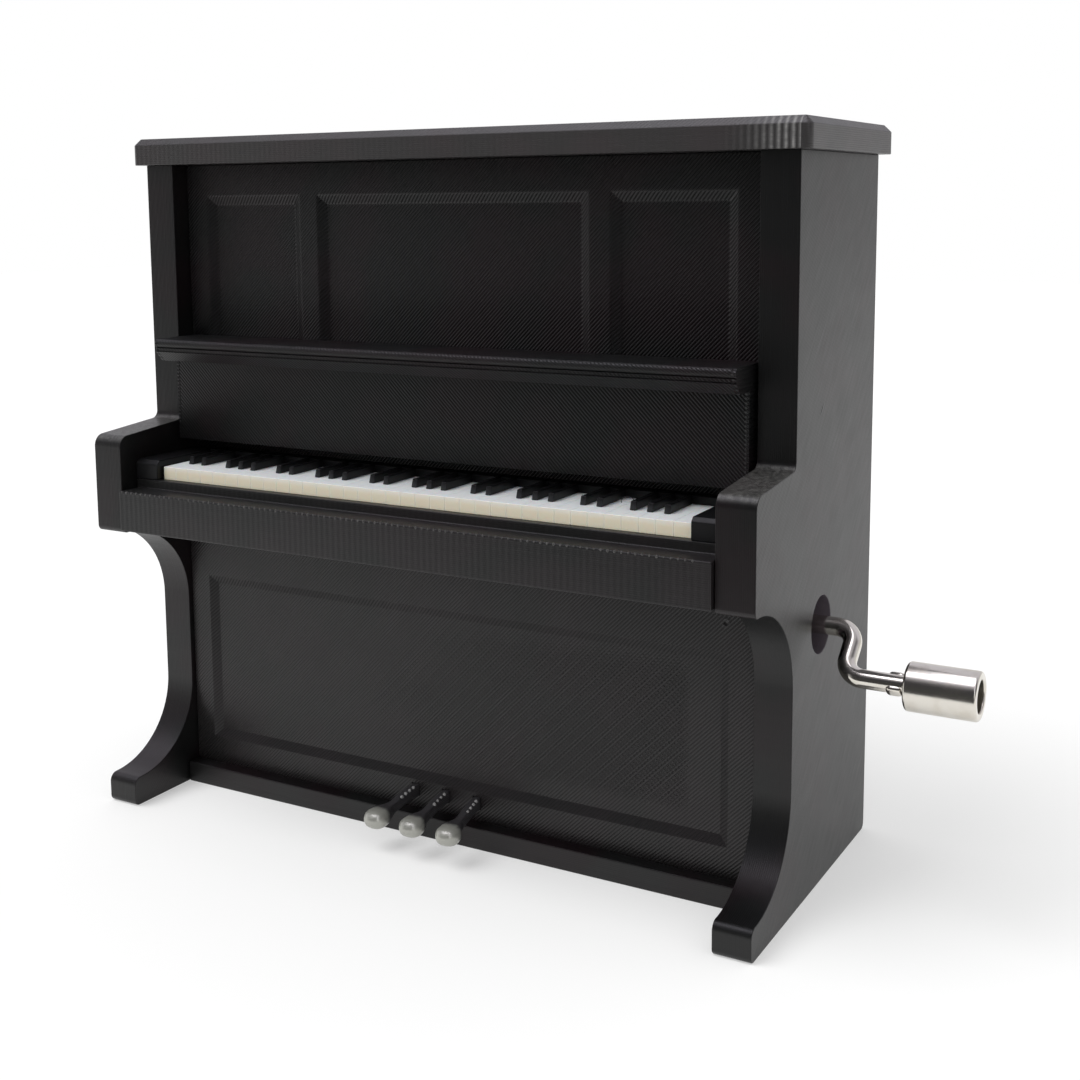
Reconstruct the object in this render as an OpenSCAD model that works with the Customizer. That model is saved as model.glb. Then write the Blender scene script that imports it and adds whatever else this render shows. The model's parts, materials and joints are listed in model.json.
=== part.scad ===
// Miniature upright piano with a hand-cranked cylinder music box closed inside its case.
// X runs to the right, Y to the back and Z up. The origin lies on the floor, at mid width,
// in the plane of the front edges of the two side panels.

/* [Case] */
// Width over both side panels
case_w = 108; // [104:1:130]
// Depth of the side panels behind their front edges
case_d = 33; // [33:0.5:45]
// Height of the side panels
side_h = 100.3; // [94:0.1:125]
// Thickness of each side panel
side_t = 5.3; // [4:0.1:6.5]
// Thickness of the two front panels
board_t = 3; // [2.6:0.1:3.6]
// Thickness of the back cover
cover_t = 2; // [1.6:0.1:3]
// Thickness of the base board
base_t = 2.4; // [1.6:0.1:2.8]
// How far the base board's plinth stands forward of the case's front edges
plinth_proud = 1.65; // [0.8:0.05:2.2]
// Height of the plinth rail above the base board
plinth_h = 0.9; // [0.6:0.05:1.6]
// Setback of the upper front panel behind the case's front edges
upper_setback = 3.15; // [2:0.05:4]
// Setback of the lower front panel behind the case's front edges
lower_setback = 0.8; // [0.4:0.1:1.2]
// Gap between the printed boards and the side panels that they are glued between
glue_gap = 0.15; // [0.05:0.05:0.3]
// Thickness of the glue cleats inside the side panels
cleat_t = 2; // [1.2:0.1:3]

/* [Lid] */
// Thickness of the lid
lid_t = 4.1; // [3:0.1:6]
// Overhang of the lid at each side
lid_side = 1.7; // [0.5:0.1:3]
// Overhang of the lid at the front
lid_front = 1.35; // [0.5:0.05:3]
// Overhang of the lid at the back
lid_back = 1.1; // [0.5:0.1:3]
// Width of the bevel round the lid's top
lid_bevel = 1; // [0.4:0.1:2]
// Radius of the lid's upright corners
lid_corner = 1; // [0.6:0.1:2]

/* [Arms and feet] */
// Reach of the arms and feet in front of the case
arm_reach = 13.9; // [12.5:0.1:16]
// Height of the arm's top where it meets the case
arm_top = 60; // [57:0.1:64]
// How much lower the arm's top is at its front
arm_fall = 0.9; // [0.2:0.1:2]
// Height of the arm's underside at its front
arm_bottom = 44; // [40:0.1:46]
// Radius of the arm's upper front corner
arm_corner = 1.8; // [1:0.1:3]
// Radius of the arm's lower front corner
arm_lip = 0.9; // [0.5:0.1:2]
// Radius of the fillet between the arm's top and the case
arm_fillet = 1.2; // [0.6:0.1:3]
// Height of the foot's top at its front
foot_h = 4.5; // [3:0.1:6]
// Radius of the foot's upper front corner
foot_corner = 1.3; // [0.6:0.1:2]
// Radius of a side panel's lower corners
base_corner = 0.9; // [0.3:0.1:1.4]

/* [Keybed] */
// Height of the keybed's underside
keybed_z = 44.6; // [44.2:0.1:48]
// Thickness of the keybed
keybed_t = 7.6; // [6:0.1:9]
// How far the keybed's apron stands forward of the arms
apron_proud = 0.8; // [0.3:0.1:2]
// Depth of the ledge on top of the apron, in front of the key slip
apron_ledge = 3.9; // [2.5:0.1:4.5]
// Height of the key slip's step above the ledge
slip_h = 1.4; // [0.8:0.1:2.5]
// How far the keybed runs on behind the upper front panel
keybed_tail = 3; // [2:0.1:5]

/* [Keys] */
// Number of white keys, starting at a C
white_count = 36; // [29:1:43]
// Width of the end blocks, between which the keyboard fills the case
block_w = 4.35; // [2:0.05:8]
// Height of the white keys
white_h = 2; // [1.4:0.1:2.6]
// Setback of the white keys' fronts behind the key slip's face
key_inset = 1.1; // [0.5:0.1:2]
// Width of the engraved line between two white keys
groove_w = 0.2; // [0.1:0.05:0.4]
// Depth of the engraved line between two white keys
groove_depth = 0.25; // [0.1:0.05:0.5]
// Width of a black key
black_w = 0.85; // [0.6:0.05:1.3]
// Height of the black keys above the white ones
black_h = 1.2; // [0.8:0.1:1.8]
// Length of the black keys in front of the upper front panel
black_len = 9.5; // [7:0.1:11]
// Depth of the bar that joins the black keys at the back
black_bar = 2.15; // [1.5:0.05:3]
// Bevel on the front edge of each black key
black_bevel = 0.4; // [0.2:0.1:0.7]
// Gap between the keyboard and the blocks at its ends
key_side_gap = 0.35; // [0.1:0.05:0.6]
// Height of the end blocks
block_h = 3; // [2:0.1:4]
// Bevel on the front edge of each end block
block_bevel = 0.6; // [0.3:0.1:1.2]

/* [Fallboard] */
// Height of the fallboard's lower edge
fall_z = 57.2; // [56.6:0.1:59]
// Height of the fallboard's top
fall_top = 73.4; // [70:0.1:78]
// Thickness of the fallboard's plate
fall_t = 4.4; // [3:0.1:5]
// Gap between each end of the fallboard and the side panel
fall_gap = 0.6; // [0.3:0.1:1.2]
// How far the moulded rail stands forward of the plate
rail_proud = 4.9; // [3:0.1:6]
// Height of the moulded rail
rail_h = 3.45; // [3:0.05:5]
// Radius of the bead on the rail's nose
bead_r = 0.675; // [0.5:0.025:0.8]
// Height of the flat strip under the bead
rail_strip_h = 0.4; // [0.2:0.05:0.6]
// How far that strip stands behind the bead's nose
rail_strip_back = 0.25; // [0.1:0.05:0.4]
// Width and depth of the quirk between strip and fascia
rail_quirk = 0.2; // [0.1:0.05:0.3]
// How far the rail's sloping fascia falls back at its foot
fascia_slope = 1.6; // [0.6:0.1:2.4]

/* [Front panel fields] */
// Width of the bevel round a sunk field
field_bevel = 1.35; // [0.6:0.05:2]
// Depth of a sunk field
field_depth = 0.75; // [0.4:0.05:1]
// Width of the upper panel's outer uprights
upper_stile = 4; // [3:0.1:6]
// Width of the upper panel's two inner uprights
mullion_w = 3.35; // [2:0.05:5]
// Width of the upper panel's middle field
middle_field_w = 45.9; // [36:0.1:50]
// Height of the upper panel's top rail
upper_top_rail = 4.9; // [3:0.1:7]
// Height of the upper panel's bottom rail, most of it behind the fallboard
upper_bottom_rail = 15.8; // [12:0.1:18]
// Width of the lower panel's uprights
lower_stile = 3.65; // [3:0.05:6]
// Height of the lower panel's top rail
lower_top_rail = 9.95; // [6:0.05:12]
// Height of the lower panel's bottom rail
lower_bottom_rail = 5.2; // [5:0.1:7]

/* [Pedals] */
// Distance between two pedals where they leave the lower front panel
pedal_pitch = 5.4; // [4.8:0.1:7]
// Angle by which each outer pedal turns outwards
pedal_fan = 5; // [0:1:8]
// Width of a pedal's stem
stem_w = 1.2; // [0.8:0.1:1.6]
// Height of the slots' lower ends above the plinth
stem_rise = 1.75; // [1.2:0.05:2.2]
// Height of a stem at its root
stem_h = 1.85; // [1.4:0.05:1.95]
// How far a stem's underside sinks on its way to the neck
stem_sag = 0.6; // [0.2:0.05:1]
// Diameter of a pedal's round toe
toe_d = 3.9; // [3:0.1:4.4]
// Distance from the lower front panel to the middle of a toe
toe_reach = 9.3; // [8:0.1:10]
// Height of a toe's underside
toe_z = 3.6; // [3:0.1:4]
// Height of a toe from its underside to its top
toe_h = 2.2; // [1.8:0.1:2.4]
// Rounding of a toe's rims
toe_rim = 0.9; // [0.4:0.1:0.9]
// Length of the neck that narrows from a toe to its stem
neck_l = 4.4; // [3:0.1:5]
// Number of printed layer steps between the root and the flat top of the stem
stem_steps = 4; // [2:1:6]
// Length of one layer step
step_run = 0.75; // [0.4:0.05:0.9]
// Gap round a stem in its slot
slot_gap = 0.1; // [0.05:0.05:0.2]
// How far a stem runs on behind the lower front panel
stem_tail = 0.7; // [0.3:0.1:0.8]

/* [Crank] */
// Distance of the crank's axis behind the case's front edges
crank_y = 11.1; // [10.5:0.1:12]
// Height of the crank's axis
crank_z = 37.2; // [36.2:0.1:37.4]
// Diameter of the crank's wire
wire_d = 2.5; // [2:0.1:2.8]
// Diameter of the hole that the crank comes out of
crank_hole_d = 8; // [6:0.5:12]
// Radius of the crank's bends, to the middle of the wire
bend_r = 2.6; // [2:0.1:3.2]
// Distance of the crank's arm from the side panel, to the middle of the wire
arm_standoff = 4.9; // [4:0.1:8]
// Distance between the crank's axis and its handle
crank_throw = 7.45; // [6.6:0.05:12]
// Angle of the crank's arm at rest, from the back (90 points up)
crank_rest = 220; // [0:5:355]
// Distance from the arm to the knob
knob_offset = 8.5; // [7:0.1:12]
// Length of one crimp beside the knob
crimp_l = 2.2; // [1.6:0.1:2.4]
// How far each crimp stands out from the middle of the wire
crimp_proud = 1.5; // [1.4:0.05:2]
// Thickness of the crimps
crimp_t = 1.7; // [1.2:0.1:2.2]
// Gap between the crimps and the knob
crimp_gap = 0.4; // [0.2:0.1:0.8]
// Diameter of the knob
knob_d = 6.4; // [5.4:0.1:9]
// Length of the knob
knob_l = 9.2; // [7:0.1:14]
// Thickness of the knob's inner end, which runs on the wire
knob_web = 3.2; // [2:0.1:4]
// Diameter of the hollow in the knob's outer end
knob_hollow_d = 4.2; // [4:0.1:4.8]
// Bevel on the knob's rims
knob_bevel = 0.35; // [0.2:0.05:0.5]
// Diameter of the head that holds the knob on the wire
head_d = 3.4; // [3.1:0.1:3.8]
// Thickness of that head
head_t = 0.9; // [0.5:0.1:1.5]
// Radial gap between the knob and the wire
knob_gap = 0.05; // [0.03:0.01:0.1]

/* [Movement] */
// Radial gap of every running fit in the movement
running_gap = 0.03; // [0.02:0.01:0.06]
// Distance of the cylinder's axis from the inside of the right side panel
movement_inset = 20.7; // [19:0.1:26]
// Module of the worm and its gear
gear_module = 0.8; // [0.76:0.01:0.84]
// Number of the gear's teeth
gear_teeth = 16; // [14:1:17]
// Thickness of the gear
gear_t = 2.4; // [1.6:0.1:2.6]
// Radius of the worm at the middle of its thread
worm_r = 2.6; // [2.5:0.05:2.9]
// Number of turns of the worm's thread
worm_turns = 3; // [3:1:4]
// Free play between the flanks of the worm and the gear
mesh_play = 0.65; // [0.55:0.05:0.75]
// Diameter of the drum
drum_d = 13; // [11:0.1:14]
// Length of the drum
drum_l = 20; // [19.4:0.1:22]
// Height of the drum's lower end
drum_z = 11.5; // [11.2:0.1:12.5]
// Thickness of the drum's wall
drum_wall = 0.6; // [0.4:0.1:1]
// Depth of the plugs in the drum's ends
plug_depth = 2.5; // [1.5:0.1:4]
// Height of the pins above the drum
pin_h = 0.5; // [0.4:0.05:0.7]
// Diameter of a pin
pin_d = 0.4; // [0.3:0.05:0.6]
// Notes that each tooth of the comb plays in one turn
notes_per_tooth = 4; // [2:1:6]
// Angle of the drum's bare strip, which faces the comb at rest
pause_angle = 64; // [56:1:90]
// Diameter of the drum's arbor
arbor_d = 2; // [1.6:0.1:2.4]
// Diameter of the collar under the drum
collar_d = 3.6; // [3:0.1:4.4]
// End play of the arbor and of the worm
end_play = 0.1; // [0.05:0.05:0.3]

/* [Comb] */
// Number of teeth
comb_teeth = 18; // [12:1:18]
// Distance from one tooth to the next
tooth_pitch = 1; // [0.8:0.05:1.05]
// Width of the slot between two teeth
tooth_slot = 0.15; // [0.1:0.05:0.3]
// Thickness of the comb
comb_t = 0.9; // [0.6:0.1:1.2]
// Length of the comb
comb_l = 19.3; // [18:0.1:22]
// Length of the comb's heel, which is screwed to the anvil
comb_heel = 7; // [6:0.1:8]
// Gap between the tips and the circle of the pins, because stiff teeth can't bend out of their way
comb_gap = 0.1; // [0.05:0.05:0.3]
// Length of the longest tooth
bass_tooth = 12; // [10:0.1:12]
// Length of the shortest tooth
treble_tooth = 8; // [6:0.1:9]
// Number of bass teeth with a lead weight
weighted_teeth = 6; // [3:1:8]
// Length of a lead weight
weight_l = 3.5; // [2:0.1:5]
// Height of a lead weight
weight_h = 1.2; // [0.6:0.1:2]
// Distance of the lead weights from the tips
weight_inset = 1.6; // [0.8:0.1:2.4]
// Distance between the comb's two screws
comb_screw_spread = 11; // [9:0.5:13]
// Length of the comb's screws under the head
comb_screw_l = 5; // [4:0.5:8]
// How far the anvil runs past the comb at each end
anvil_margin = 0.5; // [0.2:0.1:0.8]

/* [Bedplate and fasteners] */
// Thickness of the bedplate
bed_t = 2.2; // [1.8:0.1:2.6]
// Distance between the bedplate and the lower front panel
bed_standoff = 1; // [0.9:0.1:1.4]
// Height of the bedplate's lower edge
bed_z = 7; // [6.8:0.1:7.4]
// Radius of the bedplate's corners
bed_corner = 2; // [1:0.1:3]
// Distance between the two posts that carry the crank
post_spread = 16; // [15.6:0.1:18]
// Thickness of each post
post_t = 3; // [2.6:0.1:3.4]
// Wall of metal round the crank's bores
bearing_wall = 1.35; // [1:0.05:1.4]
// Wall of metal round the arbor's bores
lug_wall = 2; // [1.4:0.1:2.4]
// How far the bedplate runs past the comb, the right post and the posts' tops
bed_margin = 2; // [1:0.1:2.4]
// Distance of the bedplate's screws from its edges
bed_screw_inset = 3; // [2.4:0.1:3]
// Height of the lower bearing
lug_h = 2.5; // [2:0.1:3]
// Thickness of the arbor bracket
bracket_t = 1.6; // [1.2:0.1:1.8]
// Height of the posts above the crank's axis
post_top = 3.8; // [3.6:0.1:4]
// Diameter of the screws that hold the bedplate, and of the comb's
bed_screw_d = 1.9; // [1.6:0.1:2.2]
// Diameter of the arbor bracket's screws
bracket_screw_d = 1.6; // [1.2:0.1:1.8]
// Diameter of the back cover's screws
cover_screw_d = 1.8; // [1.6:0.1:2.4]
// Length of the back cover's screws under the head
cover_screw_l = 7; // [5:0.5:8]
// Height of a screw's head
head_h = 1; // [0.8:0.1:1.1]
// Clearance of a screw in the piece that it holds
screw_gap = 0.2; // [0.1:0.05:0.3]
// Edge length of the blocks that take the back cover's screws
boss_w = 7; // [6:0.5:9]

/* [Hidden] */

$fn = 48;
arc_steps = 20;             // chords in a quarter of a large arc
over = 1;                   // how far a cutting tool runs past the face that it cuts
pressure_angle = 20;        // flank angle of the worm and its gear

// Case
inner_x = case_w / 2 - side_t;
board_x = inner_x - glue_gap;
cover_y = case_d - cover_t;
plinth_z = base_t + plinth_h;
stem_z = plinth_z + stem_rise;
apron_y = -arm_reach - apron_proud;
slip_y = apron_y + apron_ledge;
keybed_top = keybed_z + keybed_t;
keybed_y = upper_setback + board_t + keybed_tail;
lower_back = lower_setback + board_t;
cleat_h = 5;
boss_inset = 7;             // from an end of the back cover to the middle of a screw

// Keyboard
keys_x = board_x - block_w - key_side_gap;
key_pitch = 2 * keys_x / white_count;
keys_y = slip_y + key_inset;
whites_z = keybed_top + white_h;
sharps = [1, 2, 4, 5, 6];   // white keys of an octave, from C, that a black key follows or splits
octave = 7;

// Fallboard
fall_y = upper_setback - fall_t;
nose_y = fall_y - rail_proud;

// Pedals
slot_top = stem_z + stem_h + slot_gap;
neck_steps = 5;             // tapered lengths of a neck

// Crank
arm_x = case_w / 2 + arm_standoff;
handle_y = crank_y + crank_throw * cos(crank_rest);
handle_z = crank_z + crank_throw * sin(crank_rest);
knob_x = arm_x + knob_offset;
wire_end = 0.5;             // how far the wire's inner end stands out of its post

// Worm and gear
worm_lead = PI * gear_module;
gear_r = gear_module * gear_teeth / 2;
addendum = 0.875 * gear_module;
dedendum = 1.0625 * gear_module;
flank_w = (worm_lead - mesh_play) / 2;      // thickness of thread and of tooth on the pitch line
slope = tan(pressure_angle);
root_sink = 0.2;            // how deep the roots of teeth and thread are sunk in their core
arbor_y = crank_y + worm_r + gear_r;
cylinder_x = inner_x - movement_inset;

// Bedplate
bed_y = lower_back + bed_standoff;
bed_back = bed_y + bed_t;
seat_z = crank_z + post_top;
post_x = [cylinder_x - post_spread / 2, cylinder_x + post_spread / 2];
post_back = crank_y + wire_d / 2 + bearing_wall;
lug_r = arbor_d / 2 + lug_wall;
bracket_y = bed_back + bearing_wall + wire_d / 2;
bed_top = seat_z + bed_margin;
drum_top = drum_z + drum_l;
drum_mid = drum_z + drum_l / 2;

// Comb
tip_x = cylinder_x - drum_d / 2 - pin_h - comb_gap;
comb_x = tip_x - comb_l;
comb_w = comb_teeth * tooth_pitch;
comb_z = drum_mid - comb_w / 2;
comb_y = arbor_y - comb_t / 2;
comb_screw_z = [drum_mid - comb_screw_spread / 2, drum_mid + comb_screw_spread / 2];
comb_screw_x = comb_x + comb_heel / 2;
bed_x = [comb_x - bed_margin, post_x[1] + post_t / 2 + bed_margin];
bed_screws = [
    [bed_x[0] + bed_screw_inset, bed_z + bed_screw_inset],
    [bed_x[1] - bed_screw_inset, bed_z + bed_screw_inset],
    [bed_x[0] + bed_screw_inset, bed_top - bed_screw_inset],
];
bed_screw_depth = 1.6;      // into the lower front panel's bosses and the panel itself
bracket_screw_l = 2.1;      // into a post

// Points along an arc round c, from the angle a to the angle b.
function arc(c, r, a, b, steps = arc_steps) =
    [for (i = [0:steps]) c + r * [cos(a + (b - a) * i / steps), sin(a + (b - a) * i / steps)]];

// Extrudes a profile drawn in (Y, Z) from x0 to x1.
module along_x(x0, x1) {
    translate([x0, 0, 0]) rotate([90, 0, 90]) linear_extrude(x1 - x0) children();
}

// Extrudes a profile drawn in (X, Z) from y0 back to y1.
module along_y(y0, y1) {
    translate([0, y1, 0]) rotate([90, 0, 0]) linear_extrude(y1 - y0) children();
}

// Box between two corners.
module block(low, high) {
    translate(low) cube(high - low);
}

// Round bar along X, Y or Z that starts at p.
module bar_x(p, d, l) {
    translate(p) rotate([0, 90, 0]) cylinder(d = d, h = l);
}
module bar_y(p, d, l) {
    translate(p) rotate([-90, 0, 0]) cylinder(d = d, h = l);
}
module bar_z(p, d, l) {
    translate(p) cylinder(d = d, h = l);
}

// Mirrors its children to the left or keeps them on the right.
module on_side(right) {
    if (right) children();
    else mirror([1, 0, 0]) children();
}

// Pan head with a cross recess, on the Z axis, with its seat at z = 0 and its shank below.
module screw(d, l) {
    difference() {
        union() {
            cylinder(d1 = 2 * d, d2 = 1.5 * d, h = head_h);
            translate([0, 0, -l]) cylinder(d = d, h = l);
        }
        for (turn = [0, 90])
            rotate([0, 0, turn])
                translate([-d / 2, -d / 8, head_h / 2])
                    cube([d, d / 4, head_h]);
    }
}

// Outline of a side panel in (Y, Z): case side, scrolled arm and foot.
function side_outline() =
    let (
        knee_r = arm_reach - arm_lip,
        foot_r = arm_reach - foot_corner,
        front_top = arm_top - arm_fall
    )
    concat(
        arc([case_d - base_corner, base_corner], base_corner, -90, 0, 6),
        [[case_d, side_h], [0, side_h]],
        arc([-arm_fillet, arm_top + arm_fillet], arm_fillet, 0, -90, 8),
        arc([-arm_reach + arm_corner, front_top - arm_corner], arm_corner, 90, 180, 10),
        arc([-arm_reach + arm_lip, arm_bottom + arm_lip], arm_lip, 180, 270, 8),
        arc([-knee_r, arm_bottom - knee_r], knee_r, 88, 0),
        arc([-foot_r, foot_h + foot_r], foot_r, 0, -88),
        arc([-arm_reach + foot_corner, foot_h - foot_corner], foot_corner, 90, 180, 8),
        arc([-arm_reach + base_corner, base_corner], base_corner, 180, 270, 6)
    );

// Heights of the two back cover screws on each side.
cover_screw_z = [base_t + boss_inset, side_h - boss_inset];
cover_screw_x = inner_x - boss_w / 2;

// Right side panel, with its glue cleats and the blocks for the back cover's screws.
module side_shell() {
    cleat_x = inner_x - cleat_t;
    upper_back = upper_setback + board_t;
    along_x(inner_x, case_w / 2) polygon(side_outline());
    block([cleat_x, upper_back, keybed_top + cleat_h], [inner_x, upper_back + cleat_t, side_h - cleat_h]);
    block([cleat_x, lower_back, base_t], [inner_x, lower_back + cleat_t, keybed_z - cleat_h]);
    block([cleat_x, lower_back, keybed_z - cleat_t], [inner_x, keybed_y, keybed_z]);
    block([cleat_x, lower_back, base_t], [inner_x, cover_y - boss_w, base_t + cleat_t]);
    for (z = cover_screw_z)
        difference() {
            block([inner_x - boss_w, cover_y - boss_w, z - boss_w / 2], [inner_x, cover_y, z + boss_w / 2]);
            bar_y([cover_screw_x, cover_y - cover_screw_l + cover_t, z], cover_screw_d, cover_screw_l);
        }
}

module side_panel_left() {
    color("#161616") on_side(false) side_shell();
}

module side_panel_right() {
    color("#161616")
        difference() {
            side_shell();
            bar_x([inner_x - cleat_t - over, crank_y, crank_z], crank_hole_d, side_t + cleat_t + 2 * over);
        }
}

// Outline of the lid in (X, Y), drawn in by the given inset.
module lid_outline(inset) {
    x = case_w / 2 + lid_side - inset;
    front = -lid_front + inset;
    back = case_d + lid_back - inset;
    r = max(lid_corner - inset, 0.1);
    polygon(concat(
        arc([x - r, back - r], r, 0, 90, 6),
        arc([-x + r, back - r], r, 90, 180, 6),
        arc([-x + r, front + r], r, 180, 270, 6),
        arc([x - r, front + r], r, 270, 360, 6)
    ));
}

module top_lid() {
    sliver = 0.01;
    color("#1a1a1a")
        translate([0, 0, side_h])
            hull() {
                linear_extrude(lid_t - lid_bevel) lid_outline(0);
                translate([0, 0, lid_t - sliver]) linear_extrude(sliver) lid_outline(lid_bevel);
            }
}

// Cutter of one sunk field with bevelled sides, in a panel whose front lies at y.
module field(x0, x1, z0, z1, y) {
    function trapezium(a, b) = [
        [a, -over], [b, -over], [b, 0],
        [b - field_bevel, field_depth], [a + field_bevel, field_depth], [a, 0]
    ];
    intersection() {
        translate([0, y, z0]) linear_extrude(z1 - z0) polygon(trapezium(x0, x1));
        translate([x0, y, 0])
            rotate([90, 0, 90])
                linear_extrude(x1 - x0)
                    polygon([for (p = trapezium(z0, z1)) [p[1], p[0]]]);
    }
}

module upper_front_panel() {
    outer = board_x - upper_stile;
    middle = middle_field_w / 2;
    side = middle + mullion_w;
    z0 = keybed_top + upper_bottom_rail;
    z1 = side_h - upper_top_rail;
    color("#141414")
        difference() {
            block([-board_x, upper_setback, keybed_top], [board_x, upper_setback + board_t, side_h]);
            field(-outer, -side, z0, z1, upper_setback);
            field(-middle, middle, z0, z1, upper_setback);
            field(side, outer, z0, z1, upper_setback);
        }
}

module fallboard() {
    x = inner_x - fall_gap;
    bead_z = fall_top - bead_r;
    groove_z = bead_z - bead_r;
    strip_y = nose_y + rail_strip_back;
    quirk_z = groove_z - rail_strip_h;
    fascia_z = quirk_z - rail_quirk;
    foot_z = fall_top - rail_h;
    color("#171717")
        along_x(-x, x)
            polygon(concat(
                [[upper_setback, fall_z], [upper_setback, fall_top]],
                arc([nose_y + bead_r, bead_z], bead_r, 90, 270, 12),
                [
                    [strip_y, groove_z],
                    [strip_y, quirk_z],
                    [strip_y + rail_quirk, quirk_z],
                    [strip_y + rail_quirk, fascia_z],
                    [strip_y, fascia_z],
                    [nose_y + fascia_slope, foot_z],
                    [fall_y, foot_z],
                    [fall_y, fall_z]
                ]
            ));
}

module keybed() {
    color("#181818")
        along_x(-board_x, board_x)
            polygon([
                [keybed_y, keybed_z], [keybed_y, keybed_top], [slip_y, keybed_top],
                [slip_y, keybed_top - slip_h], [apron_y, keybed_top - slip_h], [apron_y, keybed_z]
            ]);
}

module key_block(right) {
    top = keybed_top + block_h;
    color("#101010")
        on_side(right)
            along_x(board_x - block_w, board_x)
                polygon([
                    [upper_setback, keybed_top], [upper_setback, top],
                    [slip_y + block_bevel, top], [slip_y, top - block_bevel], [slip_y, keybed_top]
                ]);
}

module key_block_left() {
    key_block(false);
}

module key_block_right() {
    key_block(true);
}

module white_keys() {
    color("#f2f0ea")
        difference() {
            block([-keys_x, keys_y, keybed_top], [keys_x, upper_setback, whites_z]);
            for (i = [1:white_count - 1])
                translate([-keys_x + i * key_pitch - groove_w / 2, 0, 0]) {
                    block(
                        [0, keys_y - over, whites_z - groove_depth],
                        [groove_w, upper_setback - black_bar, whites_z + over]
                    );
                    block(
                        [0, keys_y - over, keybed_top - over],
                        [groove_w, keys_y + groove_depth, whites_z]
                    );
                }
        }
}

// The white key's place in its octave tells whether a black key stands at its right edge.
function has_sharp(i) = len([for (s = sharps) if (s == i % octave) s]) > 0;

module black_keys() {
    front = upper_setback - black_len;
    top = whites_z + black_h;
    color("#0d0d0d") {
        for (i = [1:white_count - 1])
            if (has_sharp(i))
                translate([-keys_x + i * key_pitch, 0, 0])
                    along_x(-black_w / 2, black_w / 2)
                        polygon([
                            [upper_setback, whites_z], [upper_setback, top],
                            [front + black_bevel, top], [front, top - black_bevel], [front, whites_z]
                        ]);
        block([-keys_x, upper_setback - black_bar, whites_z], [keys_x, upper_setback, top]);
    }
}

// Places its children at a pedal's root: -1 is the left pedal, 0 the middle one and 1 the right.
module at_pedal(place) {
    translate([place * pedal_pitch, lower_setback, 0])
        rotate([0, 0, place * pedal_fan])
            children();
}

module lower_front_panel() {
    x = board_x - lower_stile;
    color("#141414")
        difference() {
            union() {
                block([-board_x, lower_setback, base_t], [board_x, lower_back, keybed_z]);
                for (p = bed_screws)
                    bar_y([p[0], lower_back, p[1]], 2.6 * bed_screw_d, bed_standoff);
            }
            field(-x, x, base_t + lower_bottom_rail, keybed_z - lower_top_rail, lower_setback);
            for (p = bed_screws)
                bar_y(
                    [p[0], bed_y - bed_screw_depth - bed_standoff, p[1]],
                    bed_screw_d,
                    bed_screw_depth + bed_standoff + over
                );
            for (place = [-1:1])
                at_pedal(place)
                    block(
                        [-stem_w / 2 - slot_gap, -over, stem_z],
                        [stem_w / 2 + slot_gap, board_t + over, slot_top]
                    );
        }
}

module base_board() {
    color("#151515")
        along_x(-board_x, board_x)
            polygon([
                [case_d, 0], [case_d, base_t], [lower_setback, base_t],
                [lower_setback, plinth_z], [-plinth_proud, plinth_z], [-plinth_proud, 0]
            ]);
}

// Side view of a stem in (Y, Z): layer steps down to the flat top, and a sinking underside.
function stem_outline() =
    let (
        root = stem_z + stem_h,
        flat = toe_z + toe_h,
        rise = (root - flat) / stem_steps,
        neck_y = neck_l - toe_reach
    )
    concat(
        [[board_t + stem_tail, stem_z], [board_t + stem_tail, root]],
        [for (i = [0:stem_steps - 1]) each [
            [-i * step_run, root - i * rise], [-i * step_run, root - (i + 1) * rise]
        ]],
        [[neck_y, flat], [neck_y, stem_z - stem_sag], [0, stem_z]]
    );

// Round slice of a pedal's neck at a share of the way from the toe, 0, to the stem, 1.
module neck_slice(share) {
    d = stem_w + (toe_d - stem_w) * pow(1 - share, 2);
    low = toe_z + (stem_z - stem_sag - toe_z) * share;
    h = toe_z + toe_h - low;
    rim = min(toe_rim, 0.3 * d);
    translate([0, neck_l * share - toe_reach, low])
        rotate_extrude()
            polygon(concat(
                [[0, 0]],
                arc([d / 2 - rim, rim], rim, -90, 0, 5),
                arc([d / 2 - rim, h - rim], rim, 0, 90, 5),
                [[0, h]]
            ));
}

module pedal(place) {
    color("#9a9a98")
        at_pedal(place) {
            along_x(-stem_w / 2, stem_w / 2) polygon(stem_outline());
            for (i = [1:neck_steps])
                hull() {
                    neck_slice((i - 1) / neck_steps);
                    neck_slice(i / neck_steps);
                }
        }
}

module pedal_left() {
    pedal(-1);
}

module pedal_centre() {
    pedal(0);
}

module pedal_right() {
    pedal(1);
}

// One crimp: the wire is pinched out into a low lobe on each side.
module crimp() {
    x = knob_x - crimp_gap - crimp_l / 2;
    for (side = [-1, 1])
        translate([x, crank_throw + side * (crimp_proud - crimp_l / 2), -crimp_t / 2])
            cylinder(d = crimp_l, h = crimp_t);
}

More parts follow.
